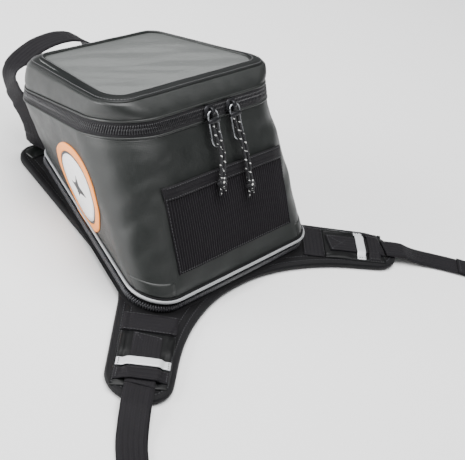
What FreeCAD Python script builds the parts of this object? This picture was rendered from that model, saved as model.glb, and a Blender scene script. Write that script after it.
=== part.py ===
# Motorcycle tank bag on a four-eared harness: one STEP file per separate piece.
# Units are millimetres. +Z is up from the tank, -Y is the rider's side, +Y the handlebar
# side and +X the rider's right. The harness underside lies on z = 0.
import FreeCAD, Part
import math
import os

V = FreeCAD.Vector

# ---- driving dimensions -------------------------------------------------------------
WEB_W = 25.0            # webbing width
WEB_T = 1.8             # webbing thickness
PAD_UNDER = 1.2         # non-slip underside sheet
PAD_FOAM = 5.2          # top of the foam
PAD_TOP = 6.2           # top of the cover cloth
BIND_OUT = 2.2          # edge binding stands this far outside the pad
GAP = 0.3               # running clearance between pieces that move apart

# bag sections: half width rear, half width front, y rear, y front, z rear, z front,
# corner radius rear, corner radius front
BASE = (127.0, 40.0, -116.0, 116.0, 20.0, 20.0, 28.0, 20.0)
RIM = (126.4, 79.5, -37.0, 132.0, 135.3, 81.3, 49.0, 44.0)
LID_SEAM = (118.4, 79.2, -28.3, 131.7, 148.7, 92.4, 41.0, 36.0)
LID_RIDGE = (116.7, 79.0, -14.1, 129.2, 158.4, 117.4, 24.0, 20.0)
WINDOW = (101.0, 76.0, -1.8, 112.6, 158.9, 133.1, 17.0, 15.0)

SKIN = 1.6              # coated cloth skin of the bag
LINER = 3.0             # foam lining
LID_T = 2.6             # lid wall
WINDOW_T = 1.0          # clear sheet
MAP_DROP = 4.0          # map-pocket floor below the lid ridge plane
PIPE_W = 3.0            # reflective piping
PIPE_FLARE = 1.3        # its upper half keeps clear of the bag where the wall leans out

POCKET_HALF = 82.0      # half width of the rear stretch pocket
POCKET_LOW, POCKET_HIGH = 19.5, 97.0    # along the rear wall from the piping
POCKET_DEEP = 3.5       # room behind the pocket panel
POCKET_T = 1.2
BAND_H = 12.0           # webbing along the pocket's top edge

BADGE_UP, BADGE_ALONG = 0.40, 0.48      # badge centre on the left wall, as fractions
BADGE_R = 43.0

ARM_EXIT = (192.4, -173.1)              # where the strap leaves a rear arm
ARM_DIR = (0.79, -0.61)
SLIDERS = {"a": -7.0, "b": 23.5}        # x of the two lid sliders
SLIDER_W = 14.0
PULL_LEN = 31.0                         # wire loop length
PULL_HALF = 6.4                         # half width of the wire loop at its centreline
WIRE_R = 0.9
CORD_D = 3.0
KNOT_R = 4.6
KNOTS = {"a": V(-16.0, -77.0, 96.4), "b": V(21.5, -83.6, 86.8)}
SAGS = {"a": V(-11.5, -69.6, 108.0), "b": V(22.5, -72.9, 103.2)}    # between loop and knot

# pieces on a rear arm: start and end along the arm (0 where the strap leaves), half width
ARM_SKEW = 0.18         # the pieces across an arm lean forward this much on its front side
ARM_BAND = (-103.0, -80.0, 24.0)
ARM_PATCH = (-79.5, -12.0, 24.0)
ROOT_START = -75.0
ARM_STRIP = (-44.0, -34.5, 22.5)
ARM_KEEPER = (-31.0, -18.0, 22.0)
STRAP_HINGE = -12.6     # where the loose strap lifts from its sewn root
HEM_LEN = 22.0          # folded end of the loose strap
HEM_AT = V(85.5, -11.8, 0)
HEM_TURN = -16.0        # degrees
EAR_PATCH = (17.0, 120.5, 30.0, 17.0)   # x, y, size in x, size in y
WELD = (90.0, -84.0, 22.2, 32.0)        # inner x, inner y, z low, z high of a corner weld

HINGE = V(0, 132.6, 86.9)

# ---- outlines -----------------------------------------------------------------------


def rounded(points, grow=0.0):
    """Closed wire in z = 0 through a polygon of (x, y, radius), moved outward by grow."""
    count = len(points)
    lines = []
    for i in range(count):
        ax, ay = points[i][:2]
        bx, by = points[(i + 1) % count][:2]
        length = math.hypot(bx - ax, by - ay)
        nx, ny = (by - ay) / length, -(bx - ax) / length
        lines.append(((ax + nx * grow, ay + ny * grow), (bx - ax, by - ay)))
    corners = []
    for i in range(count):
        (px, py), (dx, dy) = lines[i - 1]
        (qx, qy), (ex, ey) = lines[i]
        cross = dx * ey - dy * ex
        t = ((qx - px) * ey - (qy - py) * ex) / cross
        radius = points[i][2] + (grow if cross > 0 else -grow)
        corners.append((V(px + dx * t, py + dy * t, 0), radius))
    ends = []
    for i in range(count):
        corner, radius = corners[i]
        back = (corners[i - 1][0] - corner).normalize()
        ahead = (corners[(i + 1) % count][0] - corner).normalize()
        half = back.getAngle(ahead) / 2.0
        reach = radius / math.tan(half)
        centre = corner + (back + ahead).normalize() * (radius / math.sin(half))
        middle = centre + (corner - centre).normalize() * radius
        ends.append((corner + back * reach, middle, corner + ahead * reach))
    edges = []
    for i in range(count):
        start, middle, end = ends[i]
        edges.append(Part.Arc(start, middle, end).toShape())
        edges.append(Part.makeLine(end, ends[(i + 1) % count][0]))
    return Part.Wire(edges)


def section(spec, grow=0.0, lift=0.0):
    """Rounded trapezoid of the bag in its own tilted plane."""
    wide, slim, y0, y1, z0, z1, r0, r1 = spec
    run = math.hypot(y1 - y0, z1 - z0)
    wire = rounded([(-wide, 0, r0), (wide, 0, r0), (slim, run, r1), (-slim, run, r1)], grow)
    tilt = FreeCAD.Rotation(V(1, 0, 0), math.degrees(math.atan2(z1 - z0, y1 - y0)))
    wire.Placement = FreeCAD.Placement(V(0, y0, z0) + tilt.multVec(V(0, 0, lift)), tilt)
    return wire


def between(spec_a, spec_b, part):
    return tuple(a + (b - a) * part for a, b in zip(spec_a, spec_b))


def hull(spec_a, spec_b, grow=0.0, lift=0.0):
    return Part.makeLoft([section(spec_a, grow, lift), section(spec_b, grow, lift)], True, True)


def wall(spec_a, spec_b, outer, inner):
    return hull(spec_a, spec_b, outer).cut(hull(spec_a, spec_b, inner))


def slab(wire, z0, z1):
    return Part.Face(wire).extrude(V(0, 0, z1 - z0)).translated(V(0, 0, z0))


def boxed(half_x, y0, y1, z0, z1):
    return Part.makeBox(2 * half_x, y1 - y0, z1 - z0, V(-half_x, y0, z0))


def framed(shape, origin, along, out):
    """Move a shape built on x = across, y = along, z = out to a place on the bag."""
    across = along.cross(out)
    matrix = FreeCAD.Matrix(across.x, along.x, out.x, origin.x,
                            across.y, along.y, out.y, origin.y,
                            across.z, along.z, out.z, origin.z, 0, 0, 0, 1)
    moved = shape.copy()
    moved.Placement = FreeCAD.Placement(matrix).multiply(moved.Placement)
    return moved


def ribbon(stations, thick):
    """Flat strap through (centre, width direction) stations."""
    rings = []
    for i, (centre, width) in enumerate(stations):
        before = stations[max(i - 1, 0)][0]
        after = stations[min(i + 1, len(stations) - 1)][0]
        ahead = (after - before).normalize()
        across = (width - ahead * width.dot(ahead)).normalize()
        out = ahead.cross(across)
        a, b = across * (WEB_W / 2), out * (thick / 2)
        rings.append(Part.makePolygon([centre - a - b, centre + a - b, centre + a + b,
                                       centre - a + b, centre - a - b]))
    return Part.makeLoft(rings, True, True)


def tube(points, radius):
    """Round tube of straight runs joined by arcs that touch both runs."""
    edges, here = [], points[0]
    for i in range(1, len(points) - 1):
        back, ahead = points[i - 1] - points[i], points[i + 1] - points[i]
        turn = math.pi - back.getAngle(ahead)
        bend = 0.45 * min(back.Length, ahead.Length) / math.tan(turn / 2)
        reach = bend * math.tan(turn / 2)
        back.normalize()
        ahead.normalize()
        start, end = points[i] + back * reach, points[i] + ahead * reach
        centre = points[i] + (back + ahead).normalize() * (bend / math.cos(turn / 2))
        middle = centre + (points[i] - centre).normalize() * bend
        edges += [Part.makeLine(here, start), Part.Arc(start, middle, end).toShape()]
        here = end
    edges.append(Part.makeLine(here, points[-1]))
    path = Part.Wire(edges)
    mouth = Part.Wire(Part.makeCircle(radius, points[0], points[1] - points[0]))
    return path.makePipeShell([mouth], True, True, 2)


def mirrored(shape):
    return shape.mirror(V(0, 0, 0), V(1, 0, 0))


parts = {}

# ---- harness ------------------------------------------------------------------------
HALF = [(30, -119, 190), (97, -137, 250), (177, -193, 26), (208, -151, 26),
        (98, -63, 80), (51, 142, 24)]
OUTLINE = HALF + [(0, 137, 120)] + [(-x, y, r) for x, y, r in reversed(HALF)]


def sheet(z0, z1, grow=0.0):
    return slab(rounded(OUTLINE, grow), z0, z1)


parts["harness_underside"] = sheet(0.0, PAD_UNDER)
parts["harness_pad"] = sheet(PAD_UNDER, PAD_FOAM)
parts["harness_cover"] = sheet(PAD_FOAM, PAD_TOP)
parts["harness_binding"] = sheet(0.2, PAD_TOP, BIND_OUT).cut(sheet(0.0, PAD_TOP + 1))


def base_ring(z0, z1, outer, inner):
    """Upright ring that follows the bag's base outline."""
    flat = BASE[:4] + (0.0, 0.0) + BASE[6:]
    return slab(section(flat, outer), z0, z1).cut(slab(section(flat, inner), z0 - 1, z1 + 1))


parts["base_zip_tape_lower"] = base_ring(PAD_TOP, 10.8, -1.0, -2.6)
parts["base_zip_coil_lower"] = base_ring(10.8, 12.6, 0.2, -3.4)
parts["base_zip_coil_upper"] = base_ring(12.9, 14.7, 0.2, -3.4)
parts["base_zip_tape_upper"] = base_ring(14.7, 19.0, -1.0, -2.6)
parts["base_skin"] = slab(section(BASE[:4] + (0.0, 0.0) + BASE[6:]), 19.0, 20.0)

ARM_ANGLE = math.degrees(math.atan2(ARM_DIR[1], ARM_DIR[0]))


def on_arm(shape):
    """From x = along the arm (0 where the strap leaves), y = across, to the right arm."""
    turned = shape.copy()
    turned.rotate(V(0, 0, 0), V(0, 0, 1), ARM_ANGLE)
    turned.translate(V(ARM_EXIT[0], ARM_EXIT[1], 0))
    return turned


def leaning(x0, x1, half, z0, z1):
    """Flat block across an arm with its ends square to the bag instead of to the arm."""
    lean = ARM_SKEW * half
    outline = [V(x0 - lean, -half, z0), V(x1 - lean, -half, z0), V(x1 + lean, half, z0),
               V(x0 + lean, half, z0), V(x0 - lean, -half, z0)]
    return Part.Face(Part.makePolygon(outline)).extrude(V(0, 0, z1 - z0))


def arm_keeper(x0, x1, half, z0, top):
    """Webbing or tape sewn down on both sides of the strap that runs under it."""
    hole = Part.makeBox(x1 - x0 + 20, WEB_W + 1.2, WEB_T + 0.6, V(x0 - 10, -WEB_W / 2 - 0.6, z0))
    return on_arm(leaning(x0, x1, half, z0, top).cut(hole))


PATCH_TOP = PAD_TOP + 1.0
right = {
    "arm_band": on_arm(leaning(*ARM_BAND, PAD_TOP, PAD_TOP + 1.6)),
    "arm_patch": on_arm(leaning(*ARM_PATCH, PAD_TOP, PATCH_TOP)),
    "arm_strap_root": on_arm(Part.makeBox(STRAP_HINGE - 0.6 - ROOT_START, WEB_W, WEB_T,
                                          V(ROOT_START, -WEB_W / 2, PATCH_TOP))),
    "arm_keeper": arm_keeper(*ARM_KEEPER, PATCH_TOP, PATCH_TOP + 4.2),
    "reflective_strip": arm_keeper(*ARM_STRIP, PATCH_TOP, PATCH_TOP + 3.0),
}
for name, shape in right.items():
    parts[name + "_right"] = shape
    parts[name + "_left"] = mirrored(shape)

# the loose length of each rear strap starts at the keeper and lies out on the ground
STRAP = [(STRAP_HINGE + 0.6, 0.0, PATCH_TOP + 1.2), (9.0, 0.0, PATCH_TOP + 1.0),
         (16.0, -0.4, 6.4), (28.0, -1.2, 3.6), (48.0, -3.0, 2.2), (72.0, -8.0, 1.8),
         (96.0, -15.0, 1.6)]


def rear_strap():
    stations = []
    for i, (x, y, z) in enumerate(STRAP):
        ax, ay = STRAP[max(i - 1, 0)][:2]
        bx, by = STRAP[min(i + 1, len(STRAP) - 1)][:2]
        stations.append((V(x, y, z), V(-(by - ay), bx - ax, 0).normalize()))
    return on_arm(ribbon(stations, WEB_T))


parts["rear_strap_right"] = rear_strap()
parts["rear_strap_left"] = mirrored(parts["rear_strap_right"])
flat_hem = Part.makeBox(HEM_LEN, WEB_W, WEB_T, V(-HEM_LEN / 2, -WEB_W / 2, 0))
flat_hem.rotate(V(0, 0, 0), V(0, 0, 1), HEM_TURN)
hem = on_arm(flat_hem.translated(HEM_AT + V(0, 0, 1.5 * WEB_T + 0.15)))
parts["strap_hem_right"] = hem
parts["strap_hem_left"] = mirrored(hem)

# front ears: a small coated patch each, and one webbing loop sewn down on both
ear_patch = Part.makeBox(EAR_PATCH[2], EAR_PATCH[3], 1.0, V(EAR_PATCH[0], EAR_PATCH[1], PAD_TOP))
parts["ear_patch_right"] = ear_patch
parts["ear_patch_left"] = mirrored(ear_patch)

LOOP = [((-20, 129.5, 8.1), (0, -1, 0)), ((-30, 129.5, 9.9), (0, -1, 0.1)),
        ((-35, 131, 16), (0, -0.81, 0.59)), ((-41, 131, 30), (0.02, -0.79, 0.61)),
        ((-45.5, 136, 44), (0.09, -0.72, 0.68)), ((-49, 149, 56), (0.09, -0.73, 0.68)),
        ((-51.5, 159, 63), (-0.10, -0.80, 0.58)), ((-50, 168, 70), (-0.30, -0.86, 0.40)),
        ((-44, 175, 76.5), (-0.33, -0.93, 0.10)), ((-33, 180, 81.5), (-0.33, -0.94, 0.0)),
        ((-20, 184, 85), (-0.34, -0.93, 0.0)), ((-5, 188, 88), (-0.32, -0.94, 0.06)),
        ((11, 191, 89.5), (-0.30, -0.94, 0.06)), ((29, 192, 90.5), (-0.27, -0.95, 0.06)),
        ((45, 190, 90), (-0.20, -0.96, 0.08)), ((58, 184, 86), (-0.12, -0.96, 0.16)),
        ((64, 175, 76), (-0.05, -0.95, 0.28)), ((63, 164, 63), (0, -0.90, 0.40)),
        ((57, 151, 50), (0, -0.84, 0.54)), ((49.5, 140, 39), (0, -0.80, 0.60)),
        ((42, 132, 28), (-0.02, -0.79, 0.61)),
        ((35, 131, 16), (0, -0.81, 0.59)), ((30, 129.5, 9.9), (0, -1, 0.1)),
        ((20, 129.5, 8.1), (0, -1, 0))]
parts["front_loop_strap"] = ribbon([(V(*centre), V(*width)) for centre, width in LOOP], WEB_T)

# ---- bag ----------------------------------------------------------------------------
outer_hull = hull(BASE, RIM)
skin_hull = hull(BASE, RIM, -SKIN)
liner_hull = hull(BASE, RIM, -SKIN - LINER)
floor_cut = boxed(200, -200, 200, 0, 23.0)
parts["body_shell"] = outer_hull.cut(skin_hull)
parts["floor_board"] = skin_hull.common(floor_cut)
parts["body_liner"] = skin_hull.cut(liner_hull).cut(floor_cut)
piping_low = base_ring(18.5, 20.0, PIPE_W, 0.0)
piping_high = base_ring(20.0, 21.5, PIPE_W, PIPE_FLARE)
parts["reflective_piping"] = piping_low.fuse(piping_high)

# rear wall frame: across = +X, along = up the wall, out = away from the bag
REAR_FOOT = V(0, BASE[2], BASE[4])
REAR_UP = (V(0, RIM[2], RIM[4]) - REAR_FOOT).normalize()
REAR_OUT = V(0, -REAR_UP.z, REAR_UP.y)


def on_rear(shape):
    return framed(shape, REAR_FOOT, REAR_UP, REAR_OUT)


def rear_block(half, low, high, inner, outer):
    """Piece of the skin between two offsets, cut to a rectangle on the rear wall."""
    block = Part.makeBox(2 * half, high - low, 40, V(-half, low, -20))
    return hull(BASE, RIM, outer).cut(hull(BASE, RIM, inner)).common(on_rear(block))


pocket_out = POCKET_DEEP + POCKET_T
pocket = rear_block(POCKET_HALF, POCKET_LOW, POCKET_HIGH, 0.0, pocket_out * 1.21)
room = rear_block(POCKET_HALF - 1.5, POCKET_LOW + 1.5, POCKET_HIGH + 2, -0.5, POCKET_DEEP * 1.21)
parts["pocket_panel"] = pocket.cut(room)
parts["pocket_band"] = rear_block(POCKET_HALF, POCKET_HIGH - BAND_H, POCKET_HIGH,
                                  pocket_out * 1.21, (pocket_out + 1.0) * 1.21)
weld_block = Part.makeBox(60, 60, WELD[3] - WELD[2], V(WELD[0], WELD[1] - 60, WELD[2]))
parts["corner_weld_right"] = hull(BASE, RIM, 0.9).cut(outer_hull).common(weld_block)
parts["corner_weld_left"] = mirrored(parts["corner_weld_right"])

# badge on the left wall
low = V(-BASE[0], BASE[2], BASE[4]) * (1 - BADGE_ALONG) + V(-BASE[1], BASE[3], BASE[5]) * BADGE_ALONG
top = V(-RIM[0], RIM[2], RIM[4]) * (1 - BADGE_ALONG) + V(-RIM[1], RIM[3], RIM[5]) * BADGE_ALONG
along_low = V(-BASE[1], BASE[3], BASE[5]) - V(-BASE[0], BASE[2], BASE[4])
along_top = V(-RIM[1], RIM[3], RIM[5]) - V(-RIM[0], RIM[2], RIM[4])
centre = low * (1 - BADGE_UP) + top * BADGE_UP
fore = (along_low * (1 - BADGE_UP) + along_top * BADGE_UP).normalize()
outward = fore.cross(top - low).normalize() * -1
if outward.x > 0:
    outward = outward * -1


def badge_layer(inner_r, outer_r, low_skin, high_skin):
    rod = Part.makeCylinder(outer_r, 60, centre - outward * 30, outward)
    if inner_r > 0:
        rod = rod.cut(Part.makeCylinder(inner_r, 62, centre - outward * 31, outward))
    return hull(BASE, RIM, high_skin).cut(hull(BASE, RIM, low_skin)).common(rod)


parts["badge_ring"] = badge_layer(BADGE_R - 8, BADGE_R, 0.0, 0.8)
parts["badge_rim"] = badge_layer(BADGE_R - 11, BADGE_R - 8, 0.0, 0.6)
parts["badge_disc"] = badge_layer(0, BADGE_R - 11, 0.0, 0.6)


def star_prism(long_r, short_r):
    upward = (top - low).normalize()
    side = outward.cross(upward).normalize()
    upward = side.cross(outward)
    points = []
    for i in range(8):
        radius = long_r if i % 2 == 0 else short_r
        angle = math.radians(45 * i)
        points.append(centre - outward * 30 + upward * (radius * math.cos(angle))
                      + side * (radius * math.sin(angle)))
    return Part.Face(Part.makePolygon(points + points[:1])).extrude(outward * 60)


parts["badge_star"] = hull(BASE, RIM, 1.1).cut(hull(BASE, RIM, 0.6)).common(star_prism(24, 8))

# ---- lid zip and lid ----------------------------------------------------------------
HINGE_CUT = boxed(200, 119, 200, 0, 300)


def zip_wall(start, end, outer, inner):
    return wall(between(RIM, LID_SEAM, start), between(RIM, LID_SEAM, end), outer, inner)


parts["lid_zip_tape_lower"] = zip_wall(0.0, 0.40, 0.0, -1.5).cut(HINGE_CUT)
parts["lid_zip_coil_lower"] = zip_wall(0.40, 0.485, 0.8, -1.8).cut(HINGE_CUT)
parts["lid_zip_coil_upper"] = zip_wall(0.515, 0.60, 0.8, -1.8).cut(HINGE_CUT)
parts["lid_zip_tape_upper"] = zip_wall(0.60, 1.0, 0.0, -1.5).cut(HINGE_CUT)
parts["hinge_leaf_lower"] = zip_wall(0.0, 0.485, 0.4, -1.6).common(HINGE_CUT)
parts["hinge_leaf_upper"] = zip_wall(0.515, 1.0, 0.4, -1.6).common(HINGE_CUT)

lid_room = hull(LID_SEAM, LID_RIDGE, -LID_T)
parts["lid_wall"] = hull(LID_SEAM, LID_RIDGE).cut(lid_room)
crown = hull(LID_RIDGE, WINDOW).cut(hull(LID_RIDGE, WINDOW, 0.0, -LID_T))
pane = Part.Face(section(WINDOW)).extrude(V(0, 0, 30)).translated(V(0, 0, -15))
window_cut = crown.common(pane)
parts["lid_frame"] = crown.cut(pane)
lower_window = Part.Face(section(WINDOW, 5, -WINDOW_T)).extrude(V(0, 0, -40))
parts["lid_window"] = window_cut.cut(lower_window)
floor_low = Part.Face(section(LID_RIDGE, 20, -MAP_DROP - 1.4)).extrude(V(0, 0, 40))
floor_high = Part.Face(section(LID_RIDGE, 25, -MAP_DROP)).extrude(V(0, 0, 60))
parts["map_pocket_floor"] = lid_room.common(floor_low).cut(floor_high)

# ---- sliders, wire loops and cord pulls ---------------------------------------------
BAND_FOOT = V(0, RIM[2], RIM[4])
BAND_UP = (V(0, LID_SEAM[2], LID_SEAM[4]) - BAND_FOOT).normalize()
BAND_OUT = V(0, -BAND_UP.z, BAND_UP.y)
BAND_MID = 0.5 * (V(0, LID_SEAM[2], LID_SEAM[4]) - BAND_FOOT).Length
PIN_OUT = 6.6


def on_band(shape, x):
    return framed(shape, BAND_FOOT + V(x, 0, 0), BAND_UP, BAND_OUT)


def slider(x):
    """L-shaped in section, so the lid's half of the zip can lift past it."""
    foot = Part.makeBox(SLIDER_W, 5.6, 1.8, V(-SLIDER_W / 2, BAND_MID - 6.0, 1.1))
    plate = Part.makeBox(SLIDER_W, 12.0, 1.8, V(-SLIDER_W / 2, BAND_MID - 6.0, 2.9))
    bridge = Part.makeBox(4.4, 7.0, 4.4, V(-2.2, BAND_MID - 3.5, 4.7))
    hole = Part.makeCylinder(WIRE_R + 0.4, 8, V(-4, BAND_MID, PIN_OUT + 0.2), V(1, 0, 0))
    return on_band(foot.fuse(plate).fuse(bridge).removeSplitter().cut(hole), x)


def wire_loop(x):
    half, low = PULL_HALF, BAND_MID - PULL_LEN
    corners = [V(-half, BAND_MID, PIN_OUT + 0.2), V(half, BAND_MID, PIN_OUT + 0.2),
               V(half, low, PIN_OUT + 0.2), V(-half, low, PIN_OUT + 0.2)]
    edges, bend = [], 2.2
    for i, corner in enumerate(corners):
        back = (corners[i - 1] - corner).normalize()
        ahead = (corners[(i + 1) % 4] - corner).normalize()
        start, end = corner + back * bend, corner + ahead * bend
        middle = corner + (back + ahead) * (bend * (1 - math.sqrt(0.5)))
        after = corners[(i + 1) % 4] - ahead * bend
        edges += [Part.Arc(start, middle, end).toShape(), Part.makeLine(end, after)]
    mouth = Part.Wire(Part.makeCircle(WIRE_R, edges[1].Vertexes[0].Point, V(1, 0, 0)))
    path = Part.Wire(edges[1:] + edges[:1])
    return on_band(path.makePipeShell([mouth], True, False, 2), x)


def band_point(x, along, out):
    return BAND_FOOT + V(x, 0, 0) + BAND_UP * along + BAND_OUT * out


def pull_cord(x, knot, sag):
    """Cord doubled inside the wire loop, over its lower end and down to a knot."""
    low = BAND_MID - PULL_LEN

    def strand(side):
        over = band_point(x + side * 2.0, low - 4.0, PIN_OUT + 4.4)
        foot = knot + V(side * 1.7, 0, 0)
        return [foot, sag + V(side * 2.5, 0, 0), over, band_point(x + side * 2.4, BAND_MID - 19.0, PIN_OUT + 0.9),
                band_point(x + side * 3.4, BAND_MID - 8.2, PIN_OUT + 0.2)]

    return tube(strand(-1) + strand(1)[::-1], CORD_D / 2)


for key, x in SLIDERS.items():
    parts["lid_slider_" + key] = slider(x)
    parts["wire_loop_" + key] = wire_loop(x)
    parts["pull_cord_" + key] = pull_cord(x, KNOTS[key], SAGS[key])
    parts["pull_knot_" + key] = Part.makeSphere(KNOT_R, KNOTS[key]).cut(parts["pull_cord_" + key])

# base zip slider on the right flank, which is a straight run of the base outline
flank = V(BASE[1] - BASE[0], BASE[3] - BASE[2], 0).normalize()
flank_out = V(flank.y, -flank.x, 0)
spot = V(BASE[0], BASE[2], 0) + flank * 175.0


def on_flank(shape):
    return framed(shape, spot, V(0, 0, 1), flank_out)


body = Part.makeBox(10, 5.6, 2.6, V(-5, 7.0, 0.5))
bridge = Part.makeBox(4.0, 3.4, 3.4, V(-2.0, 8.1, 3.1))
pin_hole = Part.makeCylinder(1.2, 8, V(0, 5.8, 4.8), V(0, 1, 0))
parts["base_zip_slider"] = on_flank(body.fuse(bridge).cut(pin_hole))
tab_pin = Part.makeCylinder(0.8, 6.4, V(0, 6.6, 4.8), V(0, 1, 0))
tab = Part.makeBox(26.1, 6.4, 1.6, V(-25, 6.6, 4.0)).cut(Part.makeBox(6, 4.2, 4, V(-3, 7.7, 3)))
parts["base_zip_tab"] = on_flank(tab.fuse(tab_pin))

# ---- write --------------------------------------------------------------------------
os.makedirs("parts", exist_ok=True)
for name, shape in sorted(parts.items()):
    solids = shape.Solids
    if len(solids) == 1:
        shape = solids[0]
    box = shape.BoundBox
    print("%-24s %d solid  %8.1f mm3  z %.1f..%.1f  %s" % (
        name, len(solids), shape.Volume, box.ZMin, box.ZMax, "ok" if shape.isValid() else "BAD"))
    shape.exportStep("parts/" + name + ".step")
print(len(parts), "parts")
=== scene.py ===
"""Blender scene of a motorcycle tank bag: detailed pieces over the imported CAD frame."""
import math
from collections import namedtuple

import bmesh
import bpy
from mathutils import Matrix, Vector, noise
from mathutils.bvhtree import BVHTree
from mathutils.geometry import delaunay_2d_cdt
from mathutils.kdtree import KDTree


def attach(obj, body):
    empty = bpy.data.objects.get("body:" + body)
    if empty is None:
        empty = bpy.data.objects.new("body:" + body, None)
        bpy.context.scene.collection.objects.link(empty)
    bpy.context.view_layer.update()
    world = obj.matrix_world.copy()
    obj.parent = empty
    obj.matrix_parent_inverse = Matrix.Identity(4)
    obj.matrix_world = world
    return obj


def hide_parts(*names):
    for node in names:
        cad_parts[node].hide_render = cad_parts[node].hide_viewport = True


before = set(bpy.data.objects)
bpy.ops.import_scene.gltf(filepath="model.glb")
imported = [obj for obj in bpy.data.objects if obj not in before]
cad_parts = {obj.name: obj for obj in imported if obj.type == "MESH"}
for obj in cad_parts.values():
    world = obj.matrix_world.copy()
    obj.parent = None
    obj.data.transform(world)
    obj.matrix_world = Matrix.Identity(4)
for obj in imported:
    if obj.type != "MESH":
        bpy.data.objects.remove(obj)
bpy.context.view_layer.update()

MM = 0.001      # shapes are in millimetres until mesh_piece makes them metres
UP = Vector((0, 0, 1))

# ---- driving dimensions, the same as the CAD's
Section = namedtuple("Section", "rear_half front_half rear_y front_y rear_z front_z rear_r front_r")
BASE = Section(127.0, 40.0, -116.0, 116.0, 20.0, 20.0, 28.0, 20.0)
RIM = Section(126.4, 79.5, -37.0, 132.0, 135.3, 81.3, 49.0, 44.0)
LID_SEAM = Section(118.4, 79.2, -28.3, 131.7, 148.7, 92.4, 41.0, 36.0)
LID_RIDGE = Section(116.7, 79.0, -14.1, 129.2, 158.4, 117.4, 24.0, 20.0)
WINDOW = Section(101.0, 76.0, -1.8, 112.6, 158.9, 133.1, 17.0, 15.0)
# right half of the harness outline, each corner as (x, y, radius)
HALF = [(30, -119, 190), (97, -137, 250), (177, -193, 26), (208, -151, 26),
        (98, -63, 80), (51, 142, 24)]
OUTLINE = HALF + [(0, 137, 120)] + [(-x, y, r) for x, y, r in reversed(HALF)]
PAD_TOP = 6.2
PATCH_TOP = PAD_TOP + 1.0
WEB_W, WEB_T = 25.0, 1.8
ARM_EXIT = Vector((192.4, -173.1, 0))
ARM_DIR = Vector((0.79, -0.61, 0)).normalized()
BADGE_R = 43.0
BADGE_UP, BADGE_ALONG = 0.40, 0.48   # as shares of the wall's height and length
SLIDERS = {"a": -7.0, "b": 23.5}     # x of each slider
PULL_LEN, PULL_HALF, PIN_OUT = 31.0, 6.4, 6.8
WIRE_R, CORD_D = 0.9, 3.0
KNOTS = {"a": Vector((-16.0, -77.0, 96.4)), "b": Vector((21.5, -83.6, 86.8))}
SAGS = {"a": Vector((-11.5, -69.6, 108.0)), "b": Vector((22.5, -72.9, 103.2))}
ARM_SKEW = 0.18                     # how much the pieces across an arm lean
SIDE = {1: "right", -1: "left"}      # by the sign of x

# mesh resolution of the outlines
SIDE_STEPS = (60, 44, 24, 44)       # samples along rear, right, front and left edges
ARC_STEPS = 12


# ---- outlines
def corners_of(points, grow):
    """Arc start, centre and end at each corner of a rounded polygon."""
    count = len(points)
    lines = []
    for i in range(count):
        a, b = Vector(points[i][:2]), Vector(points[(i + 1) % count][:2])
        along = (b - a).normalized()
        lines.append((a + Vector((along.y, -along.x)) * grow, along))
    sharp = []
    for i in range(count):
        (p, d), (q, e) = lines[i - 1], lines[i]
        cross = d.cross(e)
        turn = math.copysign(grow, cross)
        sharp.append((p + d * ((q - p).cross(e) / cross), points[i][2] + turn))
    result = []
    for i in range(count):
        corner, radius = sharp[i]
        back = (sharp[i - 1][0] - corner).normalized()
        ahead = (sharp[(i + 1) % count][0] - corner).normalized()
        half = back.angle(ahead) / 2
        reach = radius / math.tan(half)
        centre = corner + (back + ahead).normalized() * (radius / math.sin(half))
        result.append((corner + back * reach, centre, corner + ahead * reach))
    return result


def rounded(points, grow=0.0, line_steps=None, spacing=4.0):
    """Samples (point, outward normal) round a rounded polygon, counter-clockwise."""
    corners = corners_of(points, grow)
    samples = []
    for i, (start, centre, end) in enumerate(corners):
        turn = (start - centre).angle_signed(end - centre)
        for k in range(ARC_STEPS):
            spoke = start - centre
            spoke.rotate(Matrix.Rotation(-turn * k / ARC_STEPS, 2))
            samples.append((centre + spoke, spoke.normalized() * (1 if turn < 0 else -1)))
        along = corners[(i + 1) % len(corners)][0] - end
        steps = line_steps[i] if line_steps else max(2, round(along.length / spacing))
        out = Vector((along.y, -along.x)).normalized()
        for k in range(steps):
            samples.append((end + along * (k / steps), out))
    return samples


def ring(spec, grow=0.0, lift=0.0):
    """The bag's rounded trapezoid in its own tilted plane, as (point, outward) samples."""
    wide, slim, y0, y1, z0, z1, r0, r1 = spec
    run = math.hypot(y1 - y0, z1 - z0)
    slope = Vector((0, (y1 - y0) / run, (z1 - z0) / run))
    rise = Vector((0, -slope.z, slope.y))
    flat = rounded([(-wide, 0, r0), (wide, 0, r0), (slim, run, r1), (-slim, run, r1)],
                   grow, line_steps=SIDE_STEPS)
    origin = Vector((0, y0, z0)) + rise * lift
    return [(origin + Vector((p.x, 0, 0)) + slope * p.y, Vector((n.x, 0, 0)) + slope * n.y)
            for p, n in flat]


def mix(a, b, part):
    """A loft ring part of the way from ring a to ring b."""
    return [(p.lerp(q, part), m.lerp(n, part).normalized()) for (p, m), (q, n) in zip(a, b)]


def smoothstep(a, b, value):
    t = max(0.0, min(1.0, (value - a) / (b - a)))
    return t * t * (3 - 2 * t)


def soft_edge(r, rows, c, cols, reach):
    """1 inside a grid, falling to 0 over its outermost rows and columns."""
    return min(1, r / reach, (rows - r) / reach, c / reach, (cols - c) / reach)


def points_of(samples):
    return [p for p, _ in samples]


def push(samples, amount):
    return [p + n * amount for p, n in samples]


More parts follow.
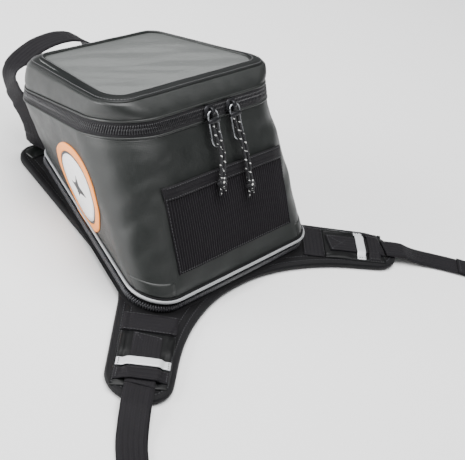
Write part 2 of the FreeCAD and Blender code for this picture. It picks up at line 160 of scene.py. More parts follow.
# ---- meshes
def set_uvs(mesh, uvs):
    """Writes the uvs; a face that closes a ring carries on instead of running back."""
    layer = mesh.uv_layers.new(name="UVMap")
    spans = [max(uv[axis] for uv in uvs) - min(uv[axis] for uv in uvs) for axis in (0, 1)]
    for polygon in mesh.polygons:
        corners = [list(uvs[i]) for i in polygon.vertices]
        for axis, span in enumerate(spans):
            high = max(c[axis] for c in corners)
            if high - min(c[axis] for c in corners) > 0.6 * span:
                for c in corners:
                    c[axis] += span if high - c[axis] > 0.6 * span else 0
        for index, (u, v) in zip(polygon.loop_indices, corners):
            layer.data[index].uv = (u * MM, v * MM)


def mesh_piece(name, shape, finish, body, *nodes, smooth=True, slot=None):
    """A piece from (vertices, faces, uvs) in millimetres; it stands for the named CAD nodes."""
    verts, faces, uvs = shape
    material, usual_slot = FINISH[finish]
    mesh = bpy.data.meshes.new(name)
    mesh.from_pydata([v * MM for v in verts], [], faces)
    if uvs:
        set_uvs(mesh, uvs)
    work = bmesh.new()
    work.from_mesh(mesh)
    bmesh.ops.recalc_face_normals(work, faces=work.faces)
    work.to_mesh(mesh)
    work.free()
    for polygon in mesh.polygons:
        polygon.use_smooth = smooth
    mesh.materials.append(material)
    piece = bpy.data.objects.new(name, mesh)
    bpy.context.scene.collection.objects.link(piece)
    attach(piece, body)
    slot or usual_slot
    if nodes:
        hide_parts(*nodes)
    return piece


def lengths(points):
    """Running length at each point of a path."""
    total, result = 0.0, [0.0]
    for a, b in zip(points, points[1:]):
        total += (b - a).length
        result.append(total)
    return result


def loft(rings, wrap=False):
    """Vertices, faces and uvs of a stack of closed rings; wrap joins the last to the first."""
    count = len(rings[0])
    verts = [p for row in rings for p in row]
    rows = len(rings)
    faces = []
    for r in range(rows if wrap else rows - 1):
        here, there = r * count, ((r + 1) % rows) * count
        for i in range(count):
            j = (i + 1) % count
            faces.append((here + i, here + j, there + j, there + i))
    widest = max(rings, key=lambda row: (row[0] - row[count // 2]).length)
    around = lengths(widest)
    heights = [0.0]
    for a, b in zip(rings, rings[1:]):
        heights.append(heights[-1] + sum((p - q).length for p, q in zip(a, b)) / count)
    uvs = [(around[i], heights[r]) for r in range(rows) for i in range(count)]
    return verts, faces, uvs


def slab(rows, cols, spots, uv):
    """A closed sheet; spots(row, column) gives its front and back points, uv its (u, v)."""
    cells = [(r, c) for r in range(rows + 1) for c in range(cols + 1)]
    pairs = [spots(r, c) for r, c in cells]
    base, across = len(pairs), cols + 1
    faces = [(k, k + 1, k + across + 1, k + across)
             for k in (r * across + c for r in range(rows) for c in range(cols))]
    faces += [tuple(base + i for i in reversed(f)) for f in faces]
    edge = [(0, c) for c in range(across)] + [(r, cols) for r in range(1, rows + 1)]
    edge += [(rows, c) for c in range(cols - 1, -1, -1)]
    edge += [(r, 0) for r in range(rows - 1, 0, -1)]
    edge = [r * across + c for r, c in edge]
    faces += [(i, base + i, base + j, j) for i, j in zip(edge, edge[1:] + edge[:1])]
    verts = [front for front, _ in pairs] + [back for _, back in pairs]
    return verts, faces, [uv(r, c) for r, c in cells] * 2


def search_tree(points):
    """Finds the nearest of the given points."""
    tree = KDTree(len(points))
    for k, p in enumerate(points):
        tree.insert(p, k)
    tree.balance()
    return tree


def catmull_rom(p0, p1, p2, p3, t):
    """A point between p1 and p2 on the smooth curve through four points."""
    return 0.5 * ((2 * p1) + (p2 - p0) * t + (2 * p0 - 5 * p1 + 4 * p2 - p3) * t * t
                  + (3 * p1 - p0 - 3 * p2 + p3) * t ** 3)


def smooth_path(points):
    """Points about 2 mm apart on a smooth curve through the given ones."""
    dense = []
    for i in range(len(points) - 1):
        p0, p1 = points[max(i - 1, 0)], points[i]
        p2, p3 = points[i + 1], points[min(i + 2, len(points) - 1)]
        steps = max(2, int((p2 - p1).length / 2))
        dense += [catmull_rom(p0, p1, p2, p3, k / steps) for k in range(steps)]
    return dense + [points[-1]]


def sweep(path, profile, across=None, closed=False):
    """Sweeps a closed profile of (side, up) pairs; across gives the side direction."""
    count = len(path)
    rings = []
    side = None
    for i, point in enumerate(path):
        before = path[i - 1] if closed or i else path[0]
        after = path[(i + 1) % count] if closed or i < count - 1 else path[-1]
        ahead = (after - before).normalized()
        if across:
            side = across(i)
        elif side is None:
            side = ahead.orthogonal()
        side = (side - ahead * side.dot(ahead)).normalized()
        over = ahead.cross(side)
        rings.append([point + side * a + over * b for a, b in profile])
    verts, faces, _ = loft(rings, wrap=closed)
    if not closed:
        sides = len(profile)
        faces += [tuple(range(sides))[::-1], tuple((count - 1) * sides + k for k in range(sides))]
    run = lengths([Vector(spot) for spot in profile])
    uvs = [(around, along) for along in lengths(path) for around in run]
    return verts, faces, uvs


def circle(radius, sides=12):
    return [(radius * math.cos(math.tau * k / sides), radius * math.sin(math.tau * k / sides))
            for k in range(sides)]


def strap_profile(width=WEB_W, depth=WEB_T, across=10):
    """Flat webbing section with rounded selvedges and a slight crown."""
    top = []
    for k in range(across + 1):
        s = -1 + 2 * k / across
        top.append((s * width / 2, depth / 2 * (1 - 0.55 * abs(s) ** 10)))
    return top + [(a, -b) for a, b in reversed(top)]


class Batch:
    """Collects many small solids into one mesh."""

    def __init__(self):
        self.verts, self.faces = [], []

    def add(self, verts, faces):
        base = len(self.verts)
        self.verts += verts
        self.faces += [tuple(base + i for i in f) for f in faces]

    def lump(self, centre, along, side, over, taper):
        """A stubby rounded block; the three vectors are its half sizes."""
        turns = [math.tau * (k + 0.5) / 8 for k in range(8)]
        verts, faces, _ = loft([[centre + along * t + side * (1.08 * s * math.cos(a))
                                 + over * (1.08 * s * math.sin(a)) for a in turns]
                                for t, s in ((-1, taper), (-0.6, 1), (0.6, 1), (1, taper))])
        faces += [tuple(range(8))[::-1], tuple(range(24, 32))]
        self.add(verts, faces)

    def piece(self, name, finish, body, *nodes):
        return mesh_piece(name, (self.verts, self.faces, None), finish, body, *nodes)


def walk(path, pitch, start):
    """Even stops along a path, each as (span number, point, direction)."""
    reach = lengths(path)
    at, i = start, 0
    while at < reach[-1]:
        while reach[i + 1] < at:
            i += 1
        part = (at - reach[i]) / max(reach[i + 1] - reach[i], 1e-6)
        yield i, path[i].lerp(path[i + 1], part), (path[i + 1] - path[i]).normalized()
        at += pitch


def stitch_rows(batch, path, out, pitch=3.0, length=2.0, width=0.35, height=0.3):
    """Thread stitches laid along a path on cloth that faces out."""
    out = out.normalized()
    for _, point, along in walk(path, pitch, pitch / 2):
        side = along.cross(out).normalized()
        batch.lump(point + out * height * 0.6, along * length / 2, side * width, out * height, 0.35)


# ---- materials
class Shader:
    """A Principled material with small helpers for its nodes; scales are per metre."""

    def __init__(self, name, color, roughness, **sockets):
        self.mat = bpy.data.materials.new(name)
        self.mat.use_nodes = True
        self.tree = self.mat.node_tree
        self.bsdf = self.tree.nodes["Principled BSDF"]
        self.bsdf.inputs["Base Color"].default_value = (*color, 1)
        self.bsdf.inputs["Roughness"].default_value = roughness
        for key, value in sockets.items():
            self.bsdf.inputs[key.replace("_", " ")].default_value = value

    def node(self, kind, **values):
        node = self.tree.nodes.new("ShaderNode" + kind)
        for key, value in values.items():
            setattr(node, key, value)
        return node

    def link(self, out, into):
        self.tree.links.new(out, into)

    def math(self, operation, a, b=0.0, c=0.0):
        node = self.node("Math", operation=operation)
        for socket, value in zip(node.inputs, (a, b, c)):
            if isinstance(value, (int, float)):
                socket.default_value = value
            else:
                self.link(value, socket)
        return node.outputs[0]

    def uv(self):
        split = self.node("SeparateXYZ")
        self.link(self.node("UVMap", uv_map="UVMap").outputs[0], split.inputs[0])
        return split.outputs[0], split.outputs[1]

    def noise(self, scale, detail, stretch=None):
        node = self.node("TexNoise")
        node.inputs["Scale"].default_value = scale
        node.inputs["Detail"].default_value = detail
        node.inputs["Roughness"].default_value = 0.55
        coords = self.node("TexCoord").outputs["Object"]
        if stretch:
            mapping = self.node("Mapping")
            mapping.inputs["Scale"].default_value = stretch
            self.link(coords, mapping.inputs[0])
            coords = mapping.outputs[0]
        self.link(coords, node.inputs["Vector"])
        return node.outputs["Fac"]

    def cells(self, scale):
        node = self.node("TexVoronoi")
        node.inputs["Scale"].default_value = scale
        self.link(self.node("TexCoord").outputs["Object"], node.inputs["Vector"])
        return node.outputs["Distance"]

    def wave(self, value, pitch_mm, shift=0.0):
        """0..1 cosine along a coordinate in metres."""
        turns = self.math("MULTIPLY_ADD", value, math.tau / (pitch_mm * MM), shift)
        return self.math("MULTIPLY_ADD", self.math("COSINE", turns), 0.5, 0.5)

    def remap(self, value, low, high, out_low, out_high):
        node = self.node("MapRange")
        self.link(value, node.inputs[0])
        for i, number in zip((1, 2, 3, 4), (low, high, out_low, out_high)):
            node.inputs[i].default_value = number
        return node.outputs[0]

    def patchy(self, scale, detail, low, high):
        """Slow noise spread between two values."""
        return self.remap(self.noise(scale, detail), 0.3, 0.7, low, high)

    def tint(self, factor, first, second):
        node = self.node("Mix", data_type="RGBA")
        self.link(factor, node.inputs[0])
        node.inputs[6].default_value = (*first, 1)
        node.inputs[7].default_value = (*second, 1)
        self.link(node.outputs[2], self.bsdf.inputs["Base Color"])

    def shade(self, factor, color, dark, light):
        """Varies the colour between two shares of itself."""
        self.tint(factor, *(tuple(min(c * share, 1) for c in color) for share in (dark, light)))

    def rough(self, scale, detail, low, high):
        self.link(self.patchy(scale, detail, low, high), self.bsdf.inputs["Roughness"])

    def bump(self, *layers):
        """Stacks (height, millimetres deep) layers into the normal."""
        last = None
        for height, depth in layers:
            node = self.node("Bump")
            node.inputs["Strength"].default_value = 1.0
            node.inputs["Distance"].default_value = depth * MM
            self.link(height, node.inputs["Height"])
            if last:
                self.link(last, node.inputs["Normal"])
            last = node.outputs[0]
        self.link(last, self.bsdf.inputs["Normal"])


def coated_cloth(name, color, roughness=0.44, shine=0.56):
    """PVC-coated cloth: the weave's faint print, a soft shine and scuffs."""
    s = Shader(name, color, roughness, Specular_IOR_Level=shine)
    u, v = s.uv()
    weave = s.math("MULTIPLY", s.wave(u, 1.05), s.wave(v, 1.05))
    s.shade(s.patchy(38, 5, 0, 1), color, 0.88, 1.16)
    s.rough(70, 4, roughness - 0.05, roughness + 0.07)
    s.bump((s.noise(26, 3), 0.5), (weave, 0.03), (s.noise(900, 2), 0.02))
    return s.mat


def woven(name, color, pitch, depth=0.14, roughness=0.82, sheen=0.06):
    """Plain woven nylon from two crossing yarns."""
    s = Shader(name, color, roughness, Sheen_Weight=sheen, Sheen_Roughness=0.5,
               Specular_IOR_Level=0.15)
    u, v = s.uv()
    over = s.math("MULTIPLY", s.wave(u, pitch), s.wave(v, pitch))
    under = s.math("MULTIPLY", s.wave(u, pitch, math.pi), s.wave(v, pitch, math.pi))
    yarn = s.math("ADD", over, under)
    s.shade(s.math("MULTIPLY", yarn, s.patchy(60, 4, 0.6, 1.1)), color, 0.55, 1.45)
    s.bump((s.noise(30, 3), 0.35), (yarn, depth), (s.noise(1400, 2), 0.05))
    return s.mat


def webbing(name, color, depth=0.13):
    """Ribbed polyester webbing: long ribs crossed by a herringbone of yarns."""
    s = Shader(name, color, 0.6, Sheen_Weight=0.03, Sheen_Roughness=0.45, Specular_IOR_Level=0.17)
    u, v = s.uv()
    yarn = s.wave(s.math("ADD", v, s.math("PINGPONG", u, 0.0021)), 1.25)
    rib = s.wave(u, 2.1)
    both = s.math("MULTIPLY_ADD", yarn, 0.65, s.math("MULTIPLY", rib, 0.35))
    s.shade(s.math("MULTIPLY", both, s.patchy(90, 3, 0.7, 1.1)), color, 0.6, 1.35)
    s.bump((rib, depth * 0.5), (yarn, depth), (s.noise(1600, 2), 0.05))
    return s.mat


def ribbed(name, color, pitch):
    """Stretch pocket cloth: knitted loops between the ribs that the mesh carries."""
    s = Shader(name, color, 0.78, Sheen_Weight=0.03, Sheen_Roughness=0.5, Specular_IOR_Level=0.15)
    u, v = s.uv()
    loops = s.math("MULTIPLY", s.wave(u, pitch / 2), s.wave(v, 1.1))
    rib = s.wave(u, pitch)
    s.shade(s.math("MULTIPLY_ADD", loops, 0.5, s.math("MULTIPLY", rib, 0.5)), color, 0.4, 1.5)
    s.bump((loops, 0.22), (s.noise(1200, 2), 0.06))
    return s.mat


def plastic(name, color, roughness, grain=0.02, scale=900):
    s = Shader(name, color, roughness)
    s.shade(s.patchy(45, 4, 0, 1), color, 0.92, 1.07)
    s.rough(120, 4, max(roughness - 0.06, 0.02), roughness + 0.08)
    s.bump((s.noise(scale, 3), grain))
    return s.mat


def reflective(name, color, roughness=0.38):
    """Silver reflective cloth: glass beads over a fine printed grid."""
    s = Shader(name, color, roughness, Metallic=0.25, Specular_IOR_Level=0.6)
    u, v = s.uv()
    lattice = s.math("MAXIMUM", s.wave(s.math("ADD", u, v), 2.2),
                     s.wave(s.math("SUBTRACT", u, v), 2.2))
    lines = s.remap(lattice, 0.93, 1.0, 1.0, 0.8)
    s.shade(s.math("MULTIPLY", lines, s.patchy(70, 4, 0.85, 1.0)), color, 0.75, 1.0)
    s.bump((lattice, 0.04), (s.cells(3200), 0.05))
    return s.mat


def metal(name, color, roughness, metallic=1.0):
    s = Shader(name, color, roughness, Metallic=metallic)
    s.shade(s.patchy(160, 4, 0, 1), color, 0.8, 1.15)
    s.rough(420, 4, roughness - 0.06, roughness + 0.12)
    s.bump((s.noise(700, 3), 0.02))
    return s.mat


def braid(name, color, fleck):
    """Braided cord with pale tracer yarns."""
    s = Shader(name, color, 0.7, Sheen_Weight=0.05, Specular_IOR_Level=0.35)
    u, v = s.uv()
    girth = CORD_D * math.pi
    rising, falling = s.math("ADD", u, v), s.math("SUBTRACT", u, v)
    plait = s.math("MAXIMUM", s.wave(rising, girth / 6), s.wave(falling, girth / 6))
    tracer = s.remap(s.wave(rising, girth), 0.88, 0.95, 0, 1)
    s.tint(s.math("MULTIPLY", tracer, s.remap(s.wave(v, 3.9), 0.62, 0.78, 0, 1)), color, fleck)
    s.bump((plait, 0.3), (s.noise(1500, 2), 0.06))
    return s.mat


def clear_sheet(name):
    """Flexible clear vinyl, a little hazy, with long soft ripples."""
    s = Shader(name, (0.20, 0.21, 0.205), 0.18, Specular_IOR_Level=0.8, Coat_Weight=0.5,
               Coat_Roughness=0.14, Alpha=0.5)
    s.rough(55, 5, 0.12, 0.24)
    s.bump((s.noise(9, 3, stretch=(1.0, 3.4, 1.0)), 1.0), (s.noise(420, 2), 0.01))
    return s.mat


# each finish: its material and the record's slot it belongs to
FINISH = {
    "coated": (coated_cloth("coated_cloth", (0.0078, 0.0094, 0.0086)), "coated_cloth"),
    "frame": (coated_cloth("frame_cloth", (0.0050, 0.0060, 0.0058), 0.46, 0.26), "coated_cloth"),
    "patch": (coated_cloth("patch_cloth", (0.0040, 0.0042, 0.0044), 0.38, 0.2), "coated_cloth"),
    "pad": (woven("pad_cloth", (0.0052, 0.0050, 0.0057), 0.9, sheen=0.03), "pad_cloth"),
    "binding": (webbing("binding_tape", (0.0045, 0.0043, 0.0052), 0.10), "webbing"),
    "webbing": (webbing("strap_webbing", (0.0060, 0.0052, 0.0068)), "webbing"),
    "grip": (plastic("grip_rubber", (0.02, 0.02, 0.02), 0.75, 0.25, 500), "grip_rubber"),
    "foam": (plastic("foam_lining", (0.16, 0.165, 0.165), 0.9, 0.2, 1400), "foam"),
    "stretch": (ribbed("stretch_cloth", (0.0085, 0.0072, 0.0095), 3.0), "stretch_cloth"),
    "piping": (reflective("reflective_piping", (0.34, 0.35, 0.36)), "reflective"),
    "strip": (reflective("reflective_strip", (0.70, 0.71, 0.73), 0.42), "reflective"),
    "tape": (woven("zip_tape", (0.0105, 0.0100, 0.0115), 0.6, 0.10, 0.6, 0.08), "zip_tape"),
    "coil": (plastic("zip_coil", (0.014, 0.0135, 0.0155), 0.33), "zip_coil"),
    # base zip teeth: the zip coil's colour lightened to paint the glints on the teeth, not a
    # lighter coil
    "base_coil_painted_glints": (plastic("base_zip_coil", (0.045, 0.045, 0.05), 0.3), "zip_coil"),
    "slider": (metal("slider_metal", (0.02, 0.02, 0.023), 0.34, 0.6), "slider_metal"),
    "wire": (metal("wire_metal", (0.42, 0.43, 0.45), 0.26), "wire_metal"),
    "window": (clear_sheet("clear_window"), "clear_window"),
    "grey": (plastic("grey_sheet", (0.085, 0.09, 0.088), 0.6, 0.06), "grey_sheet"),
    "orange": (plastic("badge_orange", (0.95, 0.30, 0.045), 0.42, 0.015), "badge_orange"),
    "dark": (plastic("badge_dark", (0.02, 0.02, 0.022), 0.45, 0.015), "badge_dark"),
    "white": (plastic("badge_white", (0.83, 0.83, 0.82), 0.45, 0.015), "badge_white"),
    "thread": (plastic("sewing_thread", (0.022, 0.022, 0.025), 0.6, 0.05, 2500), "webbing"),
    "thread_grey": (plastic("sewing_thread_grey", (0.12, 0.12, 0.125), 0.6, 0.05, 2500),
                    "webbing"),
    "cord": (braid("pull_cord", (0.010, 0.010, 0.012), (0.72, 0.72, 0.70)), "cord"),
}


# ---- camera, lights and floor
def set_camera(place, azimuth, elevation, roll, lens):
    """A camera at a place in metres, seeing the object from an angle in degrees."""
    az, el = math.radians(azimuth), math.radians(elevation)
    back = Vector((math.sin(az) * math.cos(el), -math.cos(az) * math.cos(el), math.sin(el)))
    right = (-back).cross(UP).normalized()
    down = (-back).cross(right)
    turn = math.radians(roll)
    right, down = (right * math.cos(turn) + down * math.sin(turn),
                   down * math.cos(turn) - right * math.sin(turn))
    data = bpy.data.cameras.new("camera")
    data.lens = lens
    data.clip_end = 50
    camera = bpy.data.objects.new("camera", data)
    turned = Matrix((right, -down, back)).transposed().to_4x4()
    camera.matrix_world = Matrix.Translation(place) @ turned
    bpy.context.scene.collection.objects.link(camera)
    bpy.context.scene.camera = camera


def soft_light(name, place, aim, size, watts):
    """A rectangular light; all in metres."""
    data = bpy.data.lights.new(name, "AREA")
    data.shape = "RECTANGLE"
    data.size, data.size_y = size
    data.energy = watts
    light = bpy.data.objects.new(name, data)
    light.location = place
    light.rotation_euler = (Vector(aim) - Vector(place)).to_track_quat("-Z", "Y").to_euler()
    bpy.context.scene.collection.objects.link(light)


set_camera(Vector((-0.72501, -0.50790, 0.59570)), azimuth=-60.27, elevation=33.24, roll=-19.44,
           lens=84.29)
soft_light("key", (-1.75, 1.0, 0.75), (0, 0, 0.06), (1.4, 1.2), 72)
soft_light("horizon", (1.5, 1.35, 0.75), (0, 0, 0.14), (1.5, 0.5), 1.2)
soft_light("fill", (0.3, -1.9, 1.2), (0, 0, 0.06), (1.6, 1.0), 4)
soft_light("top", (0.0, 0.0, 2.1), (0, 0, 0), (2.2, 2.2), 112)

world = bpy.data.worlds.new("studio")
world.use_nodes = True
background = world.node_tree.nodes["Background"]
background.inputs[0].default_value = (0.97, 0.98, 1.0, 1)
background.inputs[1].default_value = 0.20
bpy.context.scene.world = world

floor_mesh = bpy.data.meshes.new("floor")
floor_mesh.from_pydata([(-8, -8, 0), (8, -8, 0), (8, 8, 0), (-8, 8, 0)], [], [(0, 1, 2, 3)])
floor_mesh.materials.append(Shader("floor_paint", (0.93, 0.93, 0.93), 0.8).mat)
floor = bpy.data.objects.new("floor", floor_mesh)
floor.location.z = -0.5 * MM
bpy.context.scene.collection.objects.link(floor)

# ---- bag body
base_ring, rim_ring = ring(BASE), ring(RIM)
RING_N = len(base_ring)
REAR_FOOT = Vector((0, BASE.rear_y, BASE.rear_z))
BAND_FOOT = Vector((0, RIM.rear_y, RIM.rear_z))
REAR_UP = (BAND_FOOT - REAR_FOOT).normalized()
REAR_OUT = Vector((0, -REAR_UP.z, REAR_UP.y))
BAND_SPAN = Vector((0, LID_SEAM.rear_y, LID_SEAM.rear_z)) - BAND_FOOT
BAND_UP = BAND_SPAN.normalized()
BAND_OUT = Vector((0, -BAND_UP.z, BAND_UP.y))
BAND_MID = BAND_SPAN.length / 2

# soft folds of the rear wall: start and end as (x, up the wall), width, depth
CREASES = (((-88, 98), (-114, 70), 6.0, 4.6), ((-90, 84), (-108, 46), 7.0, 2.6),
           ((60, 112), (100, 122), 9.0, 1.2), ((-60, 118), (-104, 104), 9.0, 1.8),
           ((88, 60), (108, 96), 8.0, 1.8), ((-86, 40), (-122, 24), 7.0, 1.4),
           ((86, 96), (106, 74), 7.0, 1.0))


def crease(x, along):
    """How far the folds move the rear wall: each is a groove between two swells."""
    total = 0.0
    for (x0, y0), (x1, y1), width, depth in CREASES:
        a, b, p = Vector((x0, y0)), Vector((x1, y1)), Vector((x, along))
        run = (b - a).normalized()
        t = (p - a).dot(run)
        away = (p - a).cross(run)
        full = (b - a).length
        ends = smoothstep(-8, 8, t) * (1 - smoothstep(full - 6, full + 12, t))
        swell = 0.7 * math.exp(-((away - width) / width) ** 2)
        total += ends * depth * (swell - math.exp(-(away / width) ** 2))
    return total


def skin_offset(point, out, height):
    """How far the soft wall stands off its straight line; height runs from 0 to 1."""
    belly = 1.3 * math.sin(math.pi * height) ** 0.8
    slow = noise.noise(point * 0.016 + Vector((3, 1, 7))) * 1.5
    crumple = noise.noise(Vector((point.x * 0.035, point.y * 0.035, point.z * 0.06))) * 0.6
    rear = max(0.0, -out.y)
    dent = rear * crease(point.x, (point - REAR_FOOT).dot(REAR_UP))
    fade = min(1, height / 0.06) * min(1, (1 - height) / 0.06)      # none at the seams
    return (belly + slow + crumple + dent) * fade


def skin_ring(height, grow=0.0):
    """The soft wall's outline at a height from 0, the base, to 1, the rim."""
    return [p + n * (skin_offset(p, n, height) + grow)
            for p, n in mix(base_ring, rim_ring, height)]


SKIN_T, FOAM_FROM, FOAM_TO = 1.6, 1.7, 4.4      # all measured inward from the wall
LEVELS = [k / 64 for k in range(65)]
skin_outer = [skin_ring(h) for h in LEVELS]
skin_inner = [skin_ring(h, -SKIN_T) for h in reversed(LEVELS)]
mesh_piece("body_skin", loft(skin_outer + skin_inner, wrap=True), "coated", "bag", "body_shell")
SKIN = BVHTree.FromPolygons(*loft(skin_outer)[:2])


def on_skin(point, out, lift=0.0):
    """The point moved along out until it lies on the bag's wall, then lifted off it."""
    hit, _, _, _ = SKIN.ray_cast(point + out * 60, -out, 140)
    return (hit if hit else point) + out * lift


def rear_spot(x, along, lift):
    """A place on the rear wall, along millimetres up from its foot."""
    return on_skin(REAR_FOOT + Vector((x, 0, 0)) + REAR_UP * along, REAR_OUT, lift)


def foam_lining():
    """Padding inside the wall, lightly quilted on its inner side."""
    outer = [push(mix(base_ring, rim_ring, h), -FOAM_FROM) for h in LEVELS[::4]]
    inner = []
    for h in reversed(LEVELS[::2]):
        row = []
        for p, n in mix(base_ring, rim_ring, h):
            quilt = 0.8 * abs(math.sin(p.z / 9)) * abs(math.sin((p.x + p.y) / 14))
            row.append(p - n * (FOAM_TO + quilt * min(1, 4 * h, 4 * (1 - h))))
        inner.append(row)
    mesh_piece("foam_lining", loft(outer + inner, wrap=True), "foam", "bag", "body_liner")


def disc_rows(spec, grow, steps, height, lift=0.0):
    """A filled section as shrinking rings; height(point, part) moves points off its plane."""
    outer = ring(spec, grow, lift)
    centre = sum((p for p, _ in outer), Vector()) / len(outer)
    rise = Vector((0, spec.rear_z - spec.front_z, spec.front_y - spec.rear_y)).normalized()
    rows = []
    for k in range(steps):
        part = 1 - k / steps
        row = [centre + (p - centre) * part for p, _ in outer]
        rows.append([p + rise * height(p, part) for p in row])
    centre += rise * height(centre, 0)
    return rows, centre


def filled(name, spec, grow, thickness, height, finish, body, node, steps=20, lift=0.0):
    """A closed sheet over a section's whole area."""
    top, top_mid = disc_rows(spec, grow, steps, height, lift)
    low, low_mid = disc_rows(spec, grow, steps, lambda p, part: height(p, part) - thickness, lift)
    count = len(top[0])
    verts, faces, _ = loft(list(reversed(top)) + low)
    verts += [top_mid, low_mid]
    mid, last = len(verts) - 2, (2 * steps - 1) * count
    for i in range(count):
        j = (i + 1) % count
        faces += [(i, mid, j), (last + i, last + j, mid + 1)]
    mesh_piece(name, (verts, faces, [(p.x, p.y) for p in verts]), finish, body, node)


def base_at(z):
    """The base section moved to another height."""
    return BASE._replace(rear_z=z, front_z=z)


def floor_board():
    filled("floor_board_cover", base_at(22.6), -3.6, 2.4,
           lambda p, part: 0.7 * noise.noise(p * 0.02) * part, "grey", "bag", "floor_board", 12)
    filled("base_cloth", base_at(20.0), -0.2, 0.9,
           lambda p, part: 0.0, "coated", "bag", "base_skin", 8)


foam_lining()
floor_board()


# ---- piping and base zip
def flat_ring(z, grow):
    return ring(base_at(z), grow)


def hoop(name, profile, finish, body, *nodes):
    """A closed hoop round the base from a profile of (outward, z) pairs."""
    rings = [points_of(flat_ring(z, grow)) for grow, z in profile]
    mesh_piece(name, loft(rings, wrap=True), finish, body, *nodes)


PIPE_OUT, PIPE_Z, PIPE_R = 1.5, 19.6, 1.45
hoop("piping", [(PIPE_OUT + a, PIPE_Z + b) for a, b in circle(PIPE_R)], "piping", "bag",
     "reflective_piping")
hoop("piping_flange",
     [(0.4, 17.6), (0.9, 18.2), (0.7, 22.3), (0.1, 22.5), (-1.2, 20), (-0.8, 17.8)],
     "binding", "bag")


def zip_teeth(name, path, outs, ups, pitch, size, shift, finish, body, node):
    """One side of a coil zip; size is a tooth's half extent along, up and out."""
    batch = Batch()
    for i, point, along in walk(path + path[:1], pitch, pitch * shift):
        batch.lump(point, ups[i] * size[1], along * size[0], outs[i] * size[2], 0.7)
    batch.piece(name, finish, body, node)


def base_zip():
    hoop("base_tape_lower",
         [(-2.6, 6.4), (-0.4, 6.4), (-0.7, 8.0), (-0.5, 11.0), (-2.0, 11.0), (-2.6, 8.0)],
         "tape", "harness", "base_zip_tape_lower")
    hoop("base_tape_upper",
         [(-2.0, 14.6), (-0.5, 14.6), (-0.7, 17.0), (-0.2, 18.9), (-2.6, 18.9), (-2.6, 17)],
         "tape", "bag", "base_zip_tape_upper")
    hoop("base_flange",
         [(-2, 6.0), (3.6, 6.0), (4.0, 6.25), (3.6, 6.5), (0.2, 7.0), (-0.6, 8.2), (-1.6, 8.0)],
         "binding", "harness")
    outs = [n for _, n in flat_ring(12.0, 0.0)]
    for side, z, shift, body in (("lower", 10.9, 0.0, "harness"), ("upper", 12.8, 0.5, "bag")):
        # the teeth take the lightened coil finish that paints their glints
        zip_teeth("base_teeth_" + side, points_of(flat_ring(z, 0.7)), outs, [UP] * RING_N, 2.3,
                  (0.72, 1.8, 1.7), shift, "base_coil_painted_glints", body, "base_zip_coil_" + side)


base_zip()

# ---- lid zip
seam_ring, ridge_ring, window_ring = ring(LID_SEAM), ring(LID_RIDGE), ring(WINDOW)


def band(part, grow):
    """A ring part of the way up the zip band."""
    return push(mix(rim_ring, seam_ring, part), grow)


def strip_round(name, profile, finish, body, *nodes):
    """A closed hoop in the zip band from (part up the band, outward) pairs."""
    mesh_piece(name, loft([band(part, grow) for part, grow in profile], wrap=True),
               finish, body, *nodes)


def lid_zip():
    strip_round("body_top_hem",
                [(-0.05, 0.2), (-0.03, 0.9), (0.05, 1.0), (0.09, 0.4), (0.08, -0.9),
                 (-0.05, -1.2)], "coated", "bag")
    strip_round("zip_tape_lower",
                [(0.04, 0.1), (0.09, 0.3), (0.36, 0.1), (0.47, -0.2), (0.47, -0.9),
                 (0.04, -1.4)], "tape", "bag", "lid_zip_tape_lower", "hinge_leaf_lower")
    strip_round("zip_tape_upper",
                [(0.53, -0.2), (0.64, 0.1), (0.92, 0.3), (0.98, 0.1), (0.98, -1.4),
                 (0.53, -0.9)], "tape", "lid", "lid_zip_tape_upper", "hinge_leaf_upper")
    strip_round("lid_lower_hem",
                [(0.90, 0.5), (0.93, 1.1), (1.02, 1.0), (1.05, 0.2), (1.0, -1.2),
                 (0.91, -0.9)], "coated", "lid")
    outs = [n for _, n in mix(rim_ring, seam_ring, 0.5)]
    ups = [(b - a).normalized() for a, b in zip(points_of(rim_ring), points_of(seam_ring))]
    for side, part, shift, body in (("lower", 0.40, 0.0, "bag"), ("upper", 0.60, 0.5, "lid")):
        zip_teeth("lid_teeth_" + side, band(part, 0.1), outs, ups, 2.2, (0.66, 2.4, 0.85),
                  shift, "coil", body, "lid_zip_coil_" + side)


lid_zip()

# ---- lid
ROLL_LOW, ROLL_HIGH = 0.91, 0.09        # where the ridge's rolled edge begins and ends
CROWN_OUT = Vector((0, 0.22, 0.97))


def lid_wall_ring(part):
    """The lid's padded side, from its seam at 0 to its ridge at 1."""
    row = []
    for p, n in mix(seam_ring, ridge_ring, part):
        puff = 1.2 * math.sin(math.pi * part) + 0.5 * noise.noise(p * 0.03)
        row.append(p + n * puff * min(1, part / 0.2))
    return row


def crown_ring(part):
    """The lid's top, from its ridge at 0 to the window's edge at 1."""
    row = []
    for (p, m), (q, n) in zip(ridge_ring, window_ring):
        base = p.lerp(q, part)
        rise = 1.6 * math.sin(math.pi * part) + 0.4 * noise.noise(base * 0.035)
        row.append(base + CROWN_OUT * rise * min(1, part / 0.15 + 0.1))
    return row


def frame_tape():
    """Welded tape round the window, a step above the lid's cloth."""
    profile = [(0.13, -0.2), (0.15, 0.45), (0.22, 0.65), (0.60, 0.7), (0.92, 0.65),
               (1.0, 0.45), (1.01, -0.4)]
    rings = [[p + CROWN_OUT * lift for p in crown_ring(part)] for part, lift in profile]
    mesh_piece("window_tape", loft(rings, wrap=True), "frame", "lid")


